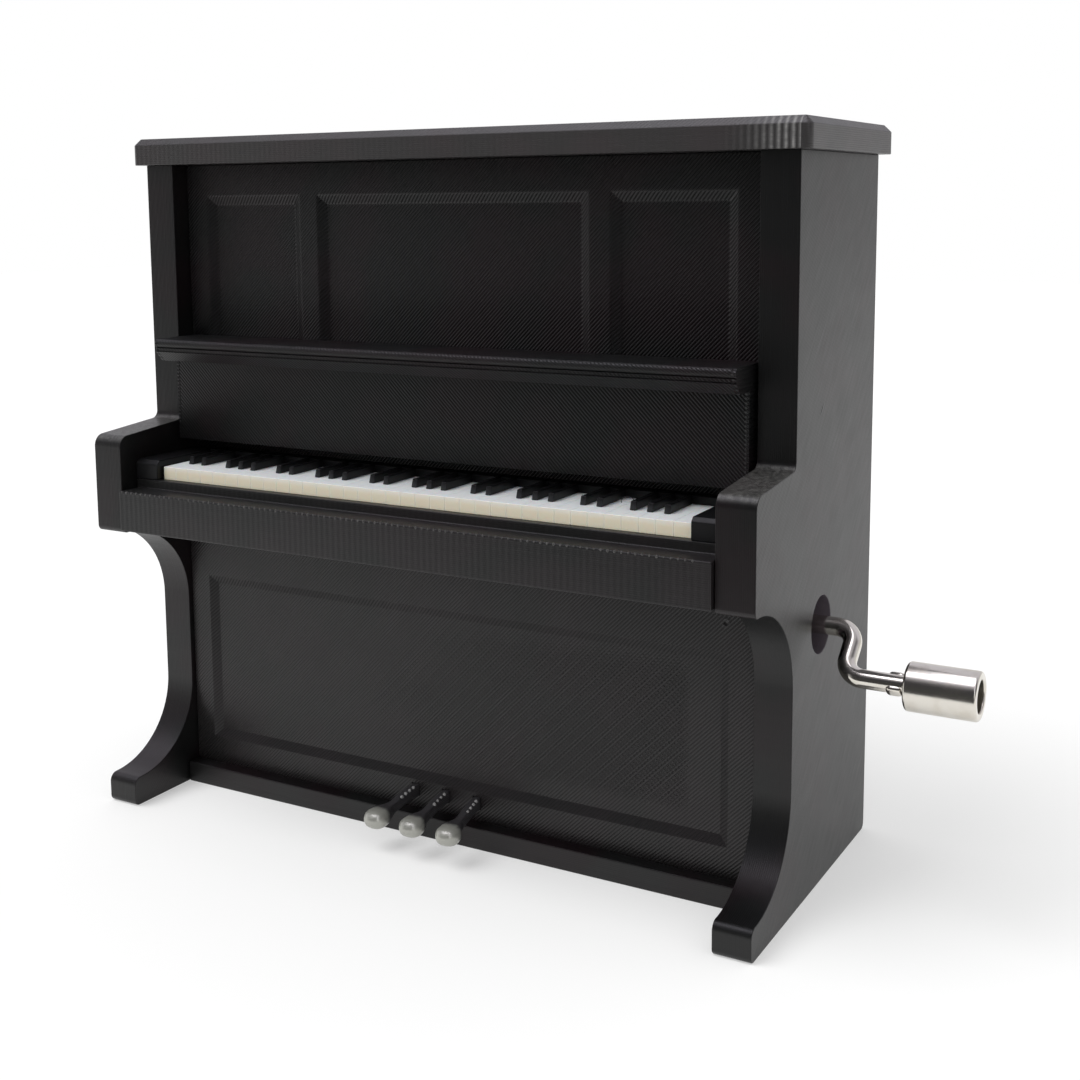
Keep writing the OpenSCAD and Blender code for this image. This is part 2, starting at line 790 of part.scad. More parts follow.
// The crank is drawn with its arm along +Y and then turned to its rest angle.
module crank_wire() {
    bend_x = arm_x - bend_r;
    handle_x = arm_x + bend_r;
    start_x = post_x[0] - post_t / 2 - wire_end;
    head_x = knob_x + knob_web + end_play;
    color("#b9b6ae")
        translate([0, crank_y, crank_z])
            rotate([crank_rest, 0, 0]) {
                bar_x([start_x, 0, 0], wire_d, bend_x - start_x);
                translate([bend_x, bend_r, 0])
                    rotate([0, 0, -90])
                        rotate_extrude(angle = 90) translate([bend_r, 0]) circle(d = wire_d);
                translate([arm_x, bend_r, 0])
                    rotate([-90, 0, 0])
                        cylinder(d = wire_d, h = crank_throw - 2 * bend_r);
                translate([handle_x, crank_throw - bend_r, 0])
                    rotate([0, 0, 90])
                        rotate_extrude(angle = 90) translate([bend_r, 0]) circle(d = wire_d);
                bar_x([handle_x, crank_throw, 0], wire_d, head_x - handle_x);
                bar_x([head_x, crank_throw, 0], head_d, head_t);
                crimp();
            }
}

module crank_knob() {
    r = knob_d / 2;
    bore = wire_d / 2 + knob_gap;
    hollow = knob_hollow_d / 2;
    color("#c9c5bb")
        translate([knob_x, handle_y, handle_z])
            rotate([0, 90, 0])
                rotate_extrude()
                    polygon([
                        [bore, 0], [r - knob_bevel, 0], [r, knob_bevel],
                        [r, knob_l - knob_bevel], [r - knob_bevel, knob_l],
                        [hollow, knob_l], [hollow, knob_web], [bore, knob_web]
                    ]);
}

module back_cover() {
    color("#161616")
        difference() {
            block([-board_x, cover_y, base_t], [board_x, case_d, side_h]);
            for (x = [-cover_screw_x, cover_screw_x], z = cover_screw_z)
                bar_y([x, cover_y - over, z], cover_screw_d + 2 * screw_gap, cover_t + 2 * over);
        }
}

module back_screws() {
    color("#8f9296")
        for (x = [-cover_screw_x, cover_screw_x], z = cover_screw_z)
            translate([x, case_d, z]) rotate([-90, 0, 0]) screw(cover_screw_d, cover_screw_l);
}

// Outline in (X, Y) of a lug that runs from y0 back round the arbor.
function lug_outline(y0) = concat(
    [[cylinder_x + lug_r, y0]],
    arc([cylinder_x, arbor_y], lug_r, 0, 180),
    [[cylinder_x - lug_r, y0]]
);

// Die-cast bedplate with crank posts, lower arbor bearing and the anvil of the comb.
module movement_frame() {
    r = bed_corner;
    bore = 2 * running_gap;
    color("#8c8f92")
        difference() {
            union() {
                along_y(bed_y, bed_back)
                    polygon(concat(
                        arc([bed_x[1] - r, bed_top - r], r, 0, 90, 6),
                        arc([bed_x[0] + r, bed_top - r], r, 90, 180, 6),
                        arc([bed_x[0] + r, bed_z + r], r, 180, 270, 6),
                        arc([bed_x[1] - r, bed_z + r], r, 270, 360, 6)
                    ));
                for (x = post_x)
                    block([x - post_t / 2, bed_y, crank_z - post_top], [x + post_t / 2, post_back, seat_z]);
                translate([0, 0, bed_z]) linear_extrude(lug_h) polygon(lug_outline(bed_y));
                block(
                    [comb_x, bed_y, comb_z - anvil_margin],
                    [comb_x + comb_heel, comb_y, comb_z + comb_w + anvil_margin]
                );
            }
            bar_x([post_x[0] - post_t, crank_y, crank_z], wire_d + bore, post_spread + 2 * post_t);
            bar_z([cylinder_x, arbor_y, bed_z - over], arbor_d + bore, lug_h + 2 * over);
            for (p = bed_screws)
                bar_y([p[0], bed_y - over, p[1]], bed_screw_d + 2 * screw_gap, bed_t + 2 * over);
            for (z = comb_screw_z)
                bar_y([comb_screw_x, comb_y - comb_screw_l + comb_t, z], bed_screw_d, comb_screw_l);
            for (x = post_x)
                bar_z([x, bracket_y, seat_z - bracket_screw_l], bracket_screw_d, bracket_screw_l + over);
        }
}

module movement_screws() {
    color("#a5a8aa")
        for (p = bed_screws)
            translate([p[0], bed_back, p[1]])
                rotate([-90, 0, 0])
                    screw(bed_screw_d, bed_t + bed_standoff + bed_screw_depth);
}

module comb() {
    weight_x = tip_x - weight_l - weight_inset;
    color("#9fa4a8")
        difference() {
            union() {
                block([comb_x, comb_y, comb_z], [tip_x, comb_y + comb_t, comb_z + comb_w]);
                for (i = [0:weighted_teeth - 1])
                    translate([weight_x, comb_y - weight_h, comb_z + i * tooth_pitch + tooth_slot])
                        cube([weight_l, weight_h + comb_t / 2, tooth_pitch - 2 * tooth_slot]);
            }
            for (i = [1:comb_teeth - 1]) {
                length = bass_tooth + (treble_tooth - bass_tooth) * i / comb_teeth;
                translate([tip_x - length, comb_y - over, comb_z + i * tooth_pitch - tooth_slot / 2])
                    cube([length + over, comb_t + 2 * over, tooth_slot]);
            }
            for (z = comb_screw_z)
                bar_y([comb_screw_x, comb_y - over, z], bed_screw_d + 2 * screw_gap, comb_t + 2 * over);
        }
}

module comb_screws() {
    color("#a5a8aa")
        for (z = comb_screw_z)
            translate([comb_screw_x, comb_y + comb_t, z])
                rotate([-90, 0, 0])
                    screw(bed_screw_d, comb_screw_l);
}

// Angle of a pin from the middle of the bare strip, spread over the rest of the drum.
function pin_angle(tooth, note) =
    let (
        span = 360 - pause_angle,
        beats = 32,
        beat = (tooth * 11 + note * floor(beats / notes_per_tooth) + (tooth % 3) * note) % beats
    )
    pause_angle / 2 + span * (beat + 0.5) / beats;

module pin_cylinder() {
    r = drum_d / 2;
    color("#c8a14b")
        translate([cylinder_x, arbor_y, drum_z])
            difference() {
                union() {
                    cylinder(r = r, h = drum_l);
                    for (tooth = [0:comb_teeth - 1], note = [0:notes_per_tooth - 1])
                        translate([0, 0, comb_z - drum_z + (tooth + 0.5) * tooth_pitch])
                            rotate([0, 0, 180 + pin_angle(tooth, note)])
                                rotate([0, 90, 0])
                                    translate([0, 0, r - drum_wall / 2])
                                        cylinder(d = pin_d, h = pin_h + drum_wall / 2, $fn = 8);
                }
                translate([0, 0, -over]) cylinder(r = r - drum_wall, h = drum_l + 2 * over);
            }
}

// One tooth of the gear, drawn along +X with its root sunk in the wheel.
function tooth_outline() =
    let (
        sunk = gear_r - dedendum - root_sink,
        root = flank_w / 2 + (gear_r - sunk) * slope,
        tip = flank_w / 2 - addendum * slope
    )
    [[sunk, -root], [gear_r + addendum, -tip], [gear_r + addendum, tip], [sunk, root]];

module cylinder_gear() {
    z0 = crank_z - gear_t / 2;
    color("#e6e2d6")
        translate([cylinder_x, arbor_y, 0])
            difference() {
                union() {
                    translate([0, 0, drum_top - plug_depth])
                        cylinder(r = drum_d / 2 - drum_wall, h = plug_depth);
                    translate([0, 0, drum_top]) cylinder(d = 2 * collar_d, h = z0 - drum_top);
                    translate([0, 0, z0]) cylinder(r = gear_r - dedendum, h = gear_t);
                    translate([0, 0, z0 + gear_t])
                        cylinder(d = collar_d, h = seat_z - 2 * end_play - z0 - gear_t);
                    for (i = [0:gear_teeth - 1])
                        rotate([0, 0, -90 + i * 360 / gear_teeth])
                            translate([0, 0, z0])
                                linear_extrude(gear_t)
                                    polygon(tooth_outline());
                }
                translate([0, 0, drum_top - plug_depth - over])
                    cylinder(d = arbor_d, h = seat_z - drum_top + plug_depth + 2 * over);
            }
}

module cylinder_plug() {
    color("#b98f3e")
        translate([cylinder_x, arbor_y, drum_z])
            difference() {
                cylinder(r = drum_d / 2 - drum_wall, h = plug_depth);
                translate([0, 0, -over]) cylinder(d = arbor_d, h = plug_depth + 2 * over);
            }
}

module cylinder_arbor() {
    collar_z = bed_z + lug_h + end_play;
    color("#b4b7ba") {
        bar_z(
            [cylinder_x, arbor_y, bed_z + end_play],
            arbor_d,
            seat_z + bracket_t - end_play - bed_z - end_play
        );
        bar_z([cylinder_x, arbor_y, collar_z], collar_d, drum_z - collar_z);
    }
}

// Bracket that carries the arbor's upper end, screwed to the tops of the crank posts.
module arbor_bracket() {
    x0 = post_x[0] - post_t / 2;
    x1 = post_x[1] + post_t / 2;
    color("#8c8f92")
        difference() {
            translate([0, 0, seat_z])
                linear_extrude(bracket_t)
                    polygon(concat(
                        [[x0, bed_back], [x1, bed_back], [x1, post_back]],
                        lug_outline(post_back),
                        [[x0, post_back]]
                    ));
            bar_z([cylinder_x, arbor_y, seat_z - over], arbor_d + 2 * running_gap, bracket_t + 2 * over);
            for (x = post_x)
                bar_z([x, bracket_y, seat_z - over], bracket_screw_d + 2 * screw_gap, bracket_t + 2 * over);
        }
}

module bracket_screws() {
    color("#a5a8aa")
        for (x = post_x)
            translate([x, bracket_y, seat_z + bracket_t])
                screw(bracket_screw_d, bracket_t + bracket_screw_l);
}

// Helical thread round the X axis, as a swept trapezium whose root is sunk in the core.
module worm_thread(core_r) {
    steps = 24;
    count = worm_turns * steps;
    sunk = core_r - root_sink;
    top = worm_r + addendum;
    root_half = flank_w / 2 + (worm_r - sunk) * slope;
    top_half = flank_w / 2 - addendum * slope;
    start = cylinder_x - worm_turns * worm_lead / 2;
    section = [[-root_half, sunk], [-top_half, top], [top_half, top], [root_half, sunk]];
    points = [for (i = [0:count], p = section)
        let (turn = 360 * i / steps)
        [start + worm_lead * i / steps + p[0], p[1] * cos(turn), p[1] * sin(turn)]];
    flanks = [for (i = [0:count - 1], k = [0:3])
        let (a = 4 * i + k, b = 4 * i + (k + 1) % 4)
        each [[a, b, b + 4], [a, b + 4, a + 4]]];
    last = 4 * count;
    caps = [[3, 2, 1], [3, 1, 0], [last, last + 1, last + 2], [last, last + 2, last + 3]];
    polyhedron(points, concat(caps, flanks));
}

module worm() {
    core_r = worm_r - dedendum;
    x0 = post_x[0] + post_t / 2 + end_play;
    x1 = post_x[1] - post_t / 2 - end_play;
    color("#cfc7b0")
        translate([0, crank_y, crank_z])
            difference() {
                union() {
                    bar_x([x0, 0, 0], 2 * core_r, x1 - x0);
                    worm_thread(core_r);
                }
                bar_x([x0 - over, 0, 0], wire_d, x1 - x0 + 2 * over);
            }
}

side_panel_left();
side_panel_right();
top_lid();
upper_front_panel();
fallboard();
keybed();
key_block_left();
key_block_right();
white_keys();
black_keys();
lower_front_panel();
base_board();
pedal_left();
pedal_centre();
pedal_right();
crank_wire();
crank_knob();
back_cover();
back_screws();
movement_frame();
movement_screws();
comb();
comb_screws();
pin_cylinder();
cylinder_gear();
cylinder_plug();
cylinder_arbor();
arbor_bracket();
bracket_screws();
worm();
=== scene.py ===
"""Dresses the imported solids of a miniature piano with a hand-cranked music box in its case.

Lengths are in millimetres unless a name says otherwise, in the frame of the solids: X runs to the right,
Y to the back and Z up. The origin lies on the floor, at mid width, in the plane of the case's front edges.
"""

import json
import logging
import math
from collections.abc import Callable, Sequence
from dataclasses import dataclass, replace
from enum import Enum
from typing import Any

import bmesh
import bpy
from mathutils import Matrix, Vector


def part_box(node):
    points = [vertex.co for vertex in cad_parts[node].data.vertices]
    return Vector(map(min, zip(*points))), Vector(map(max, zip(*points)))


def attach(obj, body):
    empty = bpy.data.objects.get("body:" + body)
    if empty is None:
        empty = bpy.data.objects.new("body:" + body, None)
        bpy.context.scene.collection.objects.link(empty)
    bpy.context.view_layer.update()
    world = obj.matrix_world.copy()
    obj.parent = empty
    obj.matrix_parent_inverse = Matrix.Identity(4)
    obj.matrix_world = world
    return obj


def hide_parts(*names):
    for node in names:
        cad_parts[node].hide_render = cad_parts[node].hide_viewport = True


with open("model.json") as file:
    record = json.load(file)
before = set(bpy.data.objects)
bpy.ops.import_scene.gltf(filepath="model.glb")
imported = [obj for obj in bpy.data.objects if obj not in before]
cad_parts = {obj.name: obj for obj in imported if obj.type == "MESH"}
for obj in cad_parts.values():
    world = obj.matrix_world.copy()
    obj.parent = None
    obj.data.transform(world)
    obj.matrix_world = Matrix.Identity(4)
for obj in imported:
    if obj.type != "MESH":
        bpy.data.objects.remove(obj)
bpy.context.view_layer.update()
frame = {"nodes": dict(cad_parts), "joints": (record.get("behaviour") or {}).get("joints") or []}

MM = 0.001
# The printer's marks: the width of a bead of its raster and the height of a layer, in millimetres.
BEAD_W = 0.42
LAYER_H = 0.275
PRINT_IOR = 1.47
log = logging.getLogger("dressing")

Colour = tuple[float, float, float]
Point = tuple[float, float, float]
Flat = tuple[float, float]


class Body(Enum):
    """The bodies that pieces ride on."""

    CASE = "case"
    CRANK = "crank"
    KNOB = "knob"


class Slot(Enum):
    """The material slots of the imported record."""

    BLACK = "black_print"
    WHITE = "white_print"
    SILVER = "silver_painted_print"
    NICKEL = "nickel_plate"
    SCREW = "zinc_plated_steel"
    ZINC = "die_cast_zinc"
    COMB = "comb_steel"
    BRASS = "drum_brass"
    NYLON = "nylon"


class Axis(Enum):
    """An axis of the frame, by its socket name."""

    X = "X"
    Y = "Y"
    Z = "Z"

    def others(self) -> tuple[str, str]:
        """Returns the names of the two axes across this one."""
        first, second = (axis.value for axis in Axis if axis is not self)
        return first, second


class Slice(Enum):
    """A slice of the noise for each pattern, so that no two patterns agree."""

    GRAIN = 0.0
    METAL_PATCHES = 1.0
    PRINT_PATCHES = 2.0
    RIPPLES = 4.0
    SPECKLE = 5.0
    GLOSS = 7.0
    PITS = 9.0


# ---------------------------------------------------------------- node trees


class Wire:
    """An output socket of a tree, on which arithmetic adds Math nodes."""

    def __init__(self, tree: "Tree", socket: bpy.types.NodeSocket) -> None:
        """Wraps a socket of the given tree."""
        self.tree = tree
        self.socket = socket

    def __getitem__(self, name: str) -> "Wire":
        """Returns another output of the same node."""
        return Wire(self.tree, self.socket.node.outputs[name])

    def __add__(self, other: "Wire | float") -> "Wire":
        """Adds."""
        return self.tree.math("ADD", self, other)

    def __sub__(self, other: "Wire | float") -> "Wire":
        """Subtracts."""
        return self.tree.math("SUBTRACT", self, other)

    def __rsub__(self, other: float) -> "Wire":
        """Subtracts this from a number."""
        return self.tree.math("SUBTRACT", other, self)

    def __mul__(self, other: "Wire | float") -> "Wire":
        """Multiplies."""
        return self.tree.math("MULTIPLY", self, other)

    def __truediv__(self, other: "Wire | float") -> "Wire":
        """Divides."""
        return self.tree.math("DIVIDE", self, other)

    def __pow__(self, power: float) -> "Wire":
        """Raises to a power."""
        return self.tree.math("POWER", self, power)

    def __abs__(self) -> "Wire":
        """Returns the size without its sign."""
        return self.tree.math("ABSOLUTE", self)

    __radd__ = __add__
    __rmul__ = __mul__


class Tree:
    """A node tree under construction."""

    def __init__(self, tree: bpy.types.NodeTree) -> None:
        """Empties a tree and starts building in it.

        Args:
            tree: The tree.
        """
        self.nodes = tree.nodes
        self.links = tree.links
        self.nodes.clear()

    def feed(self, socket: bpy.types.NodeSocket, value: Any) -> None:
        """Links or sets a socket.

        Args:
            socket: The socket.
            value: A wire, a list of wires for a socket that takes several, or a plain value.
        """
        if isinstance(value, Wire):
            self.links.new(value.socket, socket)
        elif isinstance(value, list):
            for wire in value:
                self.links.new(wire.socket, socket)
        elif socket.type == "RGBA":
            socket.default_value = (*value, 1.0)
        else:
            socket.default_value = value

    def node(
        self,
        kind: str,
        settings: dict[str, Any] | None = None,
        inputs: dict[str | int, Any] | None = None,
        output: str | int = 0,
    ) -> Wire | None:
        """Adds a node.

        Args:
            kind: The node's type.
            settings: Properties that are set before the sockets are.
            inputs: Wires or values of its sockets, by name or place.
            output: The socket that is returned.

        Returns:
            The wanted output, or None for a node without outputs.
        """
        made = self.nodes.new(kind)
        for name, value in (settings or {}).items():
            setattr(made, name, value)
        for name, value in (inputs or {}).items():
            self.feed(made.inputs[name], value)
        return Wire(self, made.outputs[output]) if len(made.outputs) else None

    def math(self, operation: str, *values: "Wire | float") -> Wire:
        """Adds a Math node on the given values and returns its result."""
        return self.node("ShaderNodeMath", {"operation": operation}, dict(enumerate(values)))

    def step(self, value: Wire, low: float, high: float) -> Wire:
        """Adds a soft step.

        Args:
            value: What is looked at.
            low: Value at which the step is 0.
            high: Value at which it is 1.

        Returns:
            The step.
        """
        return self.node(
            "ShaderNodeMapRange",
            {"interpolation_type": "SMOOTHSTEP"},
            {"Value": value, "From Min": low, "From Max": high},
        )

    def vector(self, operation: str, first: Wire, second: "Wire | Point | float") -> Wire:
        """Adds a Vector Math node.

        Args:
            operation: Its operation.
            first: A vector.
            second: Another one, or the number that scales the first.

        Returns:
            The result.
        """
        inputs = {0: first, "Scale" if operation == "SCALE" else 1: second}
        output = "Value" if operation in ("DISTANCE", "DOT_PRODUCT") else "Vector"
        return self.node("ShaderNodeVectorMath", {"operation": operation}, inputs, output)

    def mix(self, share: "Wire | float", first: "Wire | Colour", second: "Wire | Colour") -> Wire:
        """Blends two colours.

        Args:
            share: Share of the second.
            first: One colour.
            second: The other.

        Returns:
            The blend.
        """
        return self.node(
            "ShaderNodeMix", {"data_type": "RGBA"}, {0: share, 6: first, 7: second}, output=2
        )


class Surface(Tree):
    """A material under construction, whose patterns run in millimetres on the piece itself."""

    def __init__(self, name: str) -> None:
        """Starts an empty material.

        Args:
            name: Its name.
        """
        self.material = bpy.data.materials.new(name)
        self.material.use_nodes = True
        super().__init__(self.material.node_tree)
        raw = self.node("ShaderNodeTexCoord", output="Object")
        self.place = self.vector("SCALE", raw, 1 / MM)
        self.at = self.node("ShaderNodeSeparateXYZ", inputs={0: self.place})
        normal = self.node("ShaderNodeTexCoord", output="Normal")
        self.facing = self.node("ShaderNodeSeparateXYZ", inputs={0: normal})

    def noise(self, per_mm: float | Point, detail: float = 2.0, cut: Slice = Slice.GRAIN) -> Wire:
        """Adds smooth noise from 0 to 1.

        Args:
            per_mm: Features for each millimetre, the same all round or one number for each axis.
            detail: Finer octaves that are laid over the first.
            cut: The slice that is taken of it.

        Returns:
            The noise.
        """
        scale = per_mm if isinstance(per_mm, tuple) else (per_mm,) * 3
        place = self.vector("MULTIPLY", self.place, scale)
        return self.node(
            "ShaderNodeTexNoise",
            {"noise_dimensions": "4D"},
            {"Vector": place, "W": cut.value, "Scale": 1.0, "Detail": detail},
        )

    def beads(self, across: Wire, pitch: float) -> tuple[Wire, Wire]:
        """Lays rounded beads side by side.

        Args:
            across: Distance across the beads.
            pitch: Width of one bead.

        Returns:
            The beads' height from 0 in the joints to 1 on the crowns, and a random number for each bead.
        """
        turns = across / pitch
        ridge = self.math("FRACT", turns) * 2 - 1
        lot = self.node(
            "ShaderNodeTexWhiteNoise", {"noise_dimensions": "1D"}, {"W": self.math("FLOOR", turns)}
        )
        return 1 - ridge * ridge, lot

    def spot(self, centre: Point, radius: float) -> Wire:
        """Returns a mask that is 1 at a point and falls to 0 at the given radius round it."""
        return self.step(self.vector("DISTANCE", self.place, centre), radius, 0.0)

    def bump(self, height: Wire) -> Wire:
        """Returns the normal of a surface whose relief is given in millimetres."""
        return self.node("ShaderNodeBump", inputs={"Height": height, "Strength": 1.0, "Distance": MM})

    def close(self, **sockets: Any) -> bpy.types.Material:
        """Ends the material in a Principled shader.

        Args:
            sockets: Its inputs, with an underscore for each space in their names.

        Returns:
            The finished material.
        """
        named = {name.replace("_", " "): value for name, value in sockets.items()}
        shader = self.node("ShaderNodeBsdfPrincipled", inputs=named)
        self.node("ShaderNodeOutputMaterial", inputs={"Surface": shader})
        return self.material


class Recipe(Tree):
    """A Geometry Nodes tree with named inputs, which is grown into plain meshes."""

    def __init__(self, name: str) -> None:
        """Starts an empty recipe.

        Args:
            name: Its name.
        """
        self.group = bpy.data.node_groups.new(name, "GeometryNodeTree")
        super().__init__(self.group)
        face = self.group.interface
        face.new_socket(name="Geometry", in_out="INPUT", socket_type="NodeSocketGeometry")
        face.new_socket(name="Geometry", in_out="OUTPUT", socket_type="NodeSocketGeometry")
        self.start = self.node("NodeGroupInput", output="Geometry")
        self.identifiers: dict[str, str] = {}

    def value(self, name: str, kind: str = "Float") -> Wire:
        """Adds a named input.

        Args:
            name: Its name.
            kind: Its type, as in the name of its socket's class.

        Returns:
            Its wire.
        """
        made = self.group.interface.new_socket(
            name=name, in_out="INPUT", socket_type=f"NodeSocket{kind}"
        )
        self.identifiers[name] = made.identifier
        return self.start[name]

    def shape(self, name: str) -> Wire:
        """Adds an input for an object.

        Args:
            name: Name of the input.

        Returns:
            The object's geometry.
        """
        return self.node(
            "GeometryNodeObjectInfo", inputs={"Object": self.value(name, "Object")}, output="Geometry"
        )

    def line(self) -> Wire:
        """Adds a line of points, with inputs named Count, Start and Step.

        Returns:
            The points.
        """
        return self.node(
            "GeometryNodeMeshLine",
            inputs={
                "Count": self.value("Count", "Int"),
                "Start Location": self.value("Start", "Vector"),
                "Offset": self.value("Step", "Vector"),
            },
        )

    def copies(self, points: Wire, shape: Wire, **more: Wire) -> Wire:
        """Copies a shape onto points.

        Args:
            points: Where the copies lie.
            shape: The shape.
            more: The node's Scale, Rotation or Selection.

        Returns:
            The copies.
        """
        inputs = {"Points": points, "Instance": shape, **more}
        return self.node("GeometryNodeInstanceOnPoints", inputs=inputs)

    def balls(self, points: Wire, sizes: Flat) -> Wire:
        """Puts a ball on each point, with inputs named Radius and Seed.

        Args:
            points: Where the balls lie.
            sizes: Least and greatest size of a ball, as a share of the radius.

        Returns:
            The balls.
        """
        radius = self.value("Radius")
        ball = self.node("GeometryNodeMeshIcoSphere", inputs={"Radius": radius, "Subdivisions": 2})
        lot = self.node(
            "FunctionNodeRandomValue",
            {"data_type": "FLOAT"},
            {2: sizes[0], 3: sizes[1], "Seed": self.value("Seed", "Int")},
            output=1,
        )
        return self.copies(points, ball, Scale=lot)

    def close(self, geometry: Wire) -> None:
        """Ends the tree: instances are made real and get the material input.

        Args:
            geometry: What the recipe makes.
        """
        smooth = self.node("GeometryNodeSetShadeSmooth", inputs={"Geometry": geometry})
        real = self.node("GeometryNodeRealizeInstances", inputs={"Geometry": smooth})
        finished = self.node(
            "GeometryNodeSetMaterial",
            inputs={"Geometry": real, "Material": self.value("Finish", "Material")},
        )
        self.node("NodeGroupOutput", inputs={"Geometry": finished})

    def grow(
        self, name: str, finish: bpy.types.Material, mesh: bpy.types.Mesh | None = None, **values: Any
    ) -> bpy.types.Object:
        """Grows the recipe into a plain mesh.

        Args:
            name: Name of the piece.
            finish: Its material.
            mesh: Geometry that the recipe starts from.
            values: The named inputs, with an underscore for each space in their names.

        Returns:
            The piece, at the origin and without modifiers.
        """
        host = bpy.data.objects.new("host", mesh or bpy.data.meshes.new("host"))
        bpy.context.scene.collection.objects.link(host)
        modifier = host.modifiers.new("recipe", "NODES")
        modifier.node_group = self.group
        named = {key.replace("_", " "): value for key, value in values.items()}
        for key, value in {**named, "Finish": finish}.items():
            modifier[self.identifiers[key]] = value
        made = flattened(host)
        bpy.data.objects.remove(host)
        return linked(name, made)


# ---------------------------------------------------------------- meshes


def flattened(source: bpy.types.Object) -> bpy.types.Mesh:
    """Applies all the modifiers of an object.

    Args:
        source: The object, which stays as it is.

    Returns:
        The resulting mesh.
    """
    bpy.context.view_layer.update()
    shown = source.evaluated_get(bpy.context.evaluated_depsgraph_get())
    return bpy.data.meshes.new_from_object(shown)


def linked(name: str, mesh: bpy.types.Mesh) -> bpy.types.Object:
    """Puts a mesh into the scene.

    Args:
        name: Name of its object.
        mesh: The mesh.

    Returns:
        The object.
    """
    mesh.name = name
    made = bpy.data.objects.new(name, mesh)
    bpy.context.scene.collection.objects.link(made)
    return made


def settle(
    piece: bpy.types.Object, body: Body, nodes: Sequence[str], finish: bpy.types.Material
) -> bpy.types.Object:
    """Gives a finished piece its material and its place in the frame.

    Args:
        piece: A plain mesh object at the origin.
        body: The body that it rides on.
        nodes: The solids that it stands for.
        finish: Its material.

    Returns:
        The same piece.
    """
    piece.data.materials.clear()
    piece.data.materials.append(finish)
    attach(piece, body.value)
    if nodes:
        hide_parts(*nodes)
    log.info("%s: %d faces, rides on %s", piece.name, len(piece.data.polygons), body.value)
    return piece


def solid_copy(node: str, weld: float = 0.002, flat: float = 1.5) -> bmesh.types.BMesh:
    """Copies a solid and makes its flat faces whole.

    Args:
        node: The solid.
        weld: Distance within which its corners become one.
        flat: Angle in degrees within which its faces become one.

    Returns:
        The copy.
    """
    made = bmesh.new()
    made.from_mesh(frame["nodes"][node].data)
    bmesh.ops.remove_doubles(made, verts=made.verts, dist=weld * MM)
    bmesh.ops.dissolve_limit(
        made, angle_limit=math.radians(flat), verts=made.verts, edges=made.edges
    )
    return made


def plain_mesh(source: bmesh.types.BMesh) -> bpy.types.Mesh:
    """Turns a shape into a smooth mesh with outward faces.

    Args:
        source: The shape, which is used up.

    Returns:
        The mesh.
    """
    bmesh.ops.recalc_face_normals(source, faces=source.faces)
    made = bpy.data.meshes.new("plain")
    source.to_mesh(made)
    source.free()
    made.shade_smooth()
    return made


def softened(
    name: str, shape: bmesh.types.BMesh, width: float, segments: int = 2, hard: float = 14
) -> bpy.types.Object:
    """Rounds every hard edge of a shape.

    Args:
        name: Name of the piece.
        shape: Merged shape.
        width: Width of the rounding.
        segments: Faces across it.
        hard: Angle in degrees from which an edge is hard.

    Returns:
        The rounded piece.
    """
    host = linked("host", plain_mesh(shape))
    bevel = host.modifiers.new("rounding", "BEVEL")
    bevel.width = width * MM
    bevel.segments = segments
    bevel.limit_method = "ANGLE"
    bevel.angle_limit = math.radians(hard)
    even = host.modifiers.new("even_shading", "WEIGHTED_NORMAL")
    even.weight = 100
    made = flattened(host)
    bpy.data.objects.remove(host)
    return linked(name, made)


def dressed(
    node: str, name: str, body: Body, finish: bpy.types.Material, width: float = 0.18
) -> bpy.types.Object:
    """Replaces a solid by a copy with softened edges and its finish."""
    return settle(softened(name, solid_copy(node), width), body, [node], finish)


def islands(node: str) -> list[tuple[Vector, Vector]]:
    """Finds the separate solids of a node.

    Args:
        node: The node.

    Returns:
        The lowest and highest corner of each, in millimetres, from left to right.
    """
    source = solid_copy(node)
    left = set(source.verts)
    boxes = []
    while left:
        front = [left.pop()]
        reached = list(front)
        while front:
            near = {edge.other_vert(v) for v in front for edge in v.link_edges}
            front = list(near & left)
            left -= near
            reached += front
        places = [v.co / MM for v in reached]
        boxes.append(tuple(Vector(pick(p[i] for p in places) for i in range(3)) for pick in (min, max)))
    source.free()
    return sorted(boxes, key=lambda box: tuple(box[0]))


def arc(centre: Flat, radius: float, start: float, end: float, steps: int) -> list[Flat]:
    """Lists points along an arc.

    Args:
        centre: Its centre.
        radius: Its radius.
        start: Its first angle in degrees.
        end: Its last angle.
        steps: Number of steps between them.

    Returns:
        The points.
    """
    turns = [math.radians(start + (end - start) * i / steps) for i in range(steps + 1)]
    return [(centre[0] + radius * math.cos(t), centre[1] + radius * math.sin(t)) for t in turns]


def lathe(profile: Sequence[Flat], steps: int) -> bmesh.types.BMesh:
    """Turns a profile of (radius, height) points round the Z axis.

    Args:
        profile: The outline, closed by the turning where it starts and ends on the axis.
        steps: Faces round the axis.

    Returns:
        The turned shape.
    """
    made = bmesh.new()
    ring = [made.verts.new((r * MM, 0, z * MM)) for r, z in profile]
    edges = [made.edges.new(pair) for pair in zip(ring, ring[1:])]
    bmesh.ops.spin(
        made, geom=ring + edges, axis=(0, 0, 1), cent=(0, 0, 0), steps=steps, angle=math.tau
    )
    bmesh.ops.remove_doubles(made, verts=made.verts, dist=0.001 * MM)
    return made


def brick(low: Point, high: Point) -> bmesh.types.BMesh:
    """Makes a closed box.

    Args:
        low: Its lowest corner.
        high: Its highest corner.

    Returns:
        The box.
    """
    made = bmesh.new()
    size = Vector(high) - Vector(low)
    middle = (Vector(high) + Vector(low)) / 2
    matrix = Matrix.Translation(middle * MM) @ Matrix.Diagonal((*(size * MM), 1.0))
    bmesh.ops.create_cube(made, size=1.0, matrix=matrix)
    return made


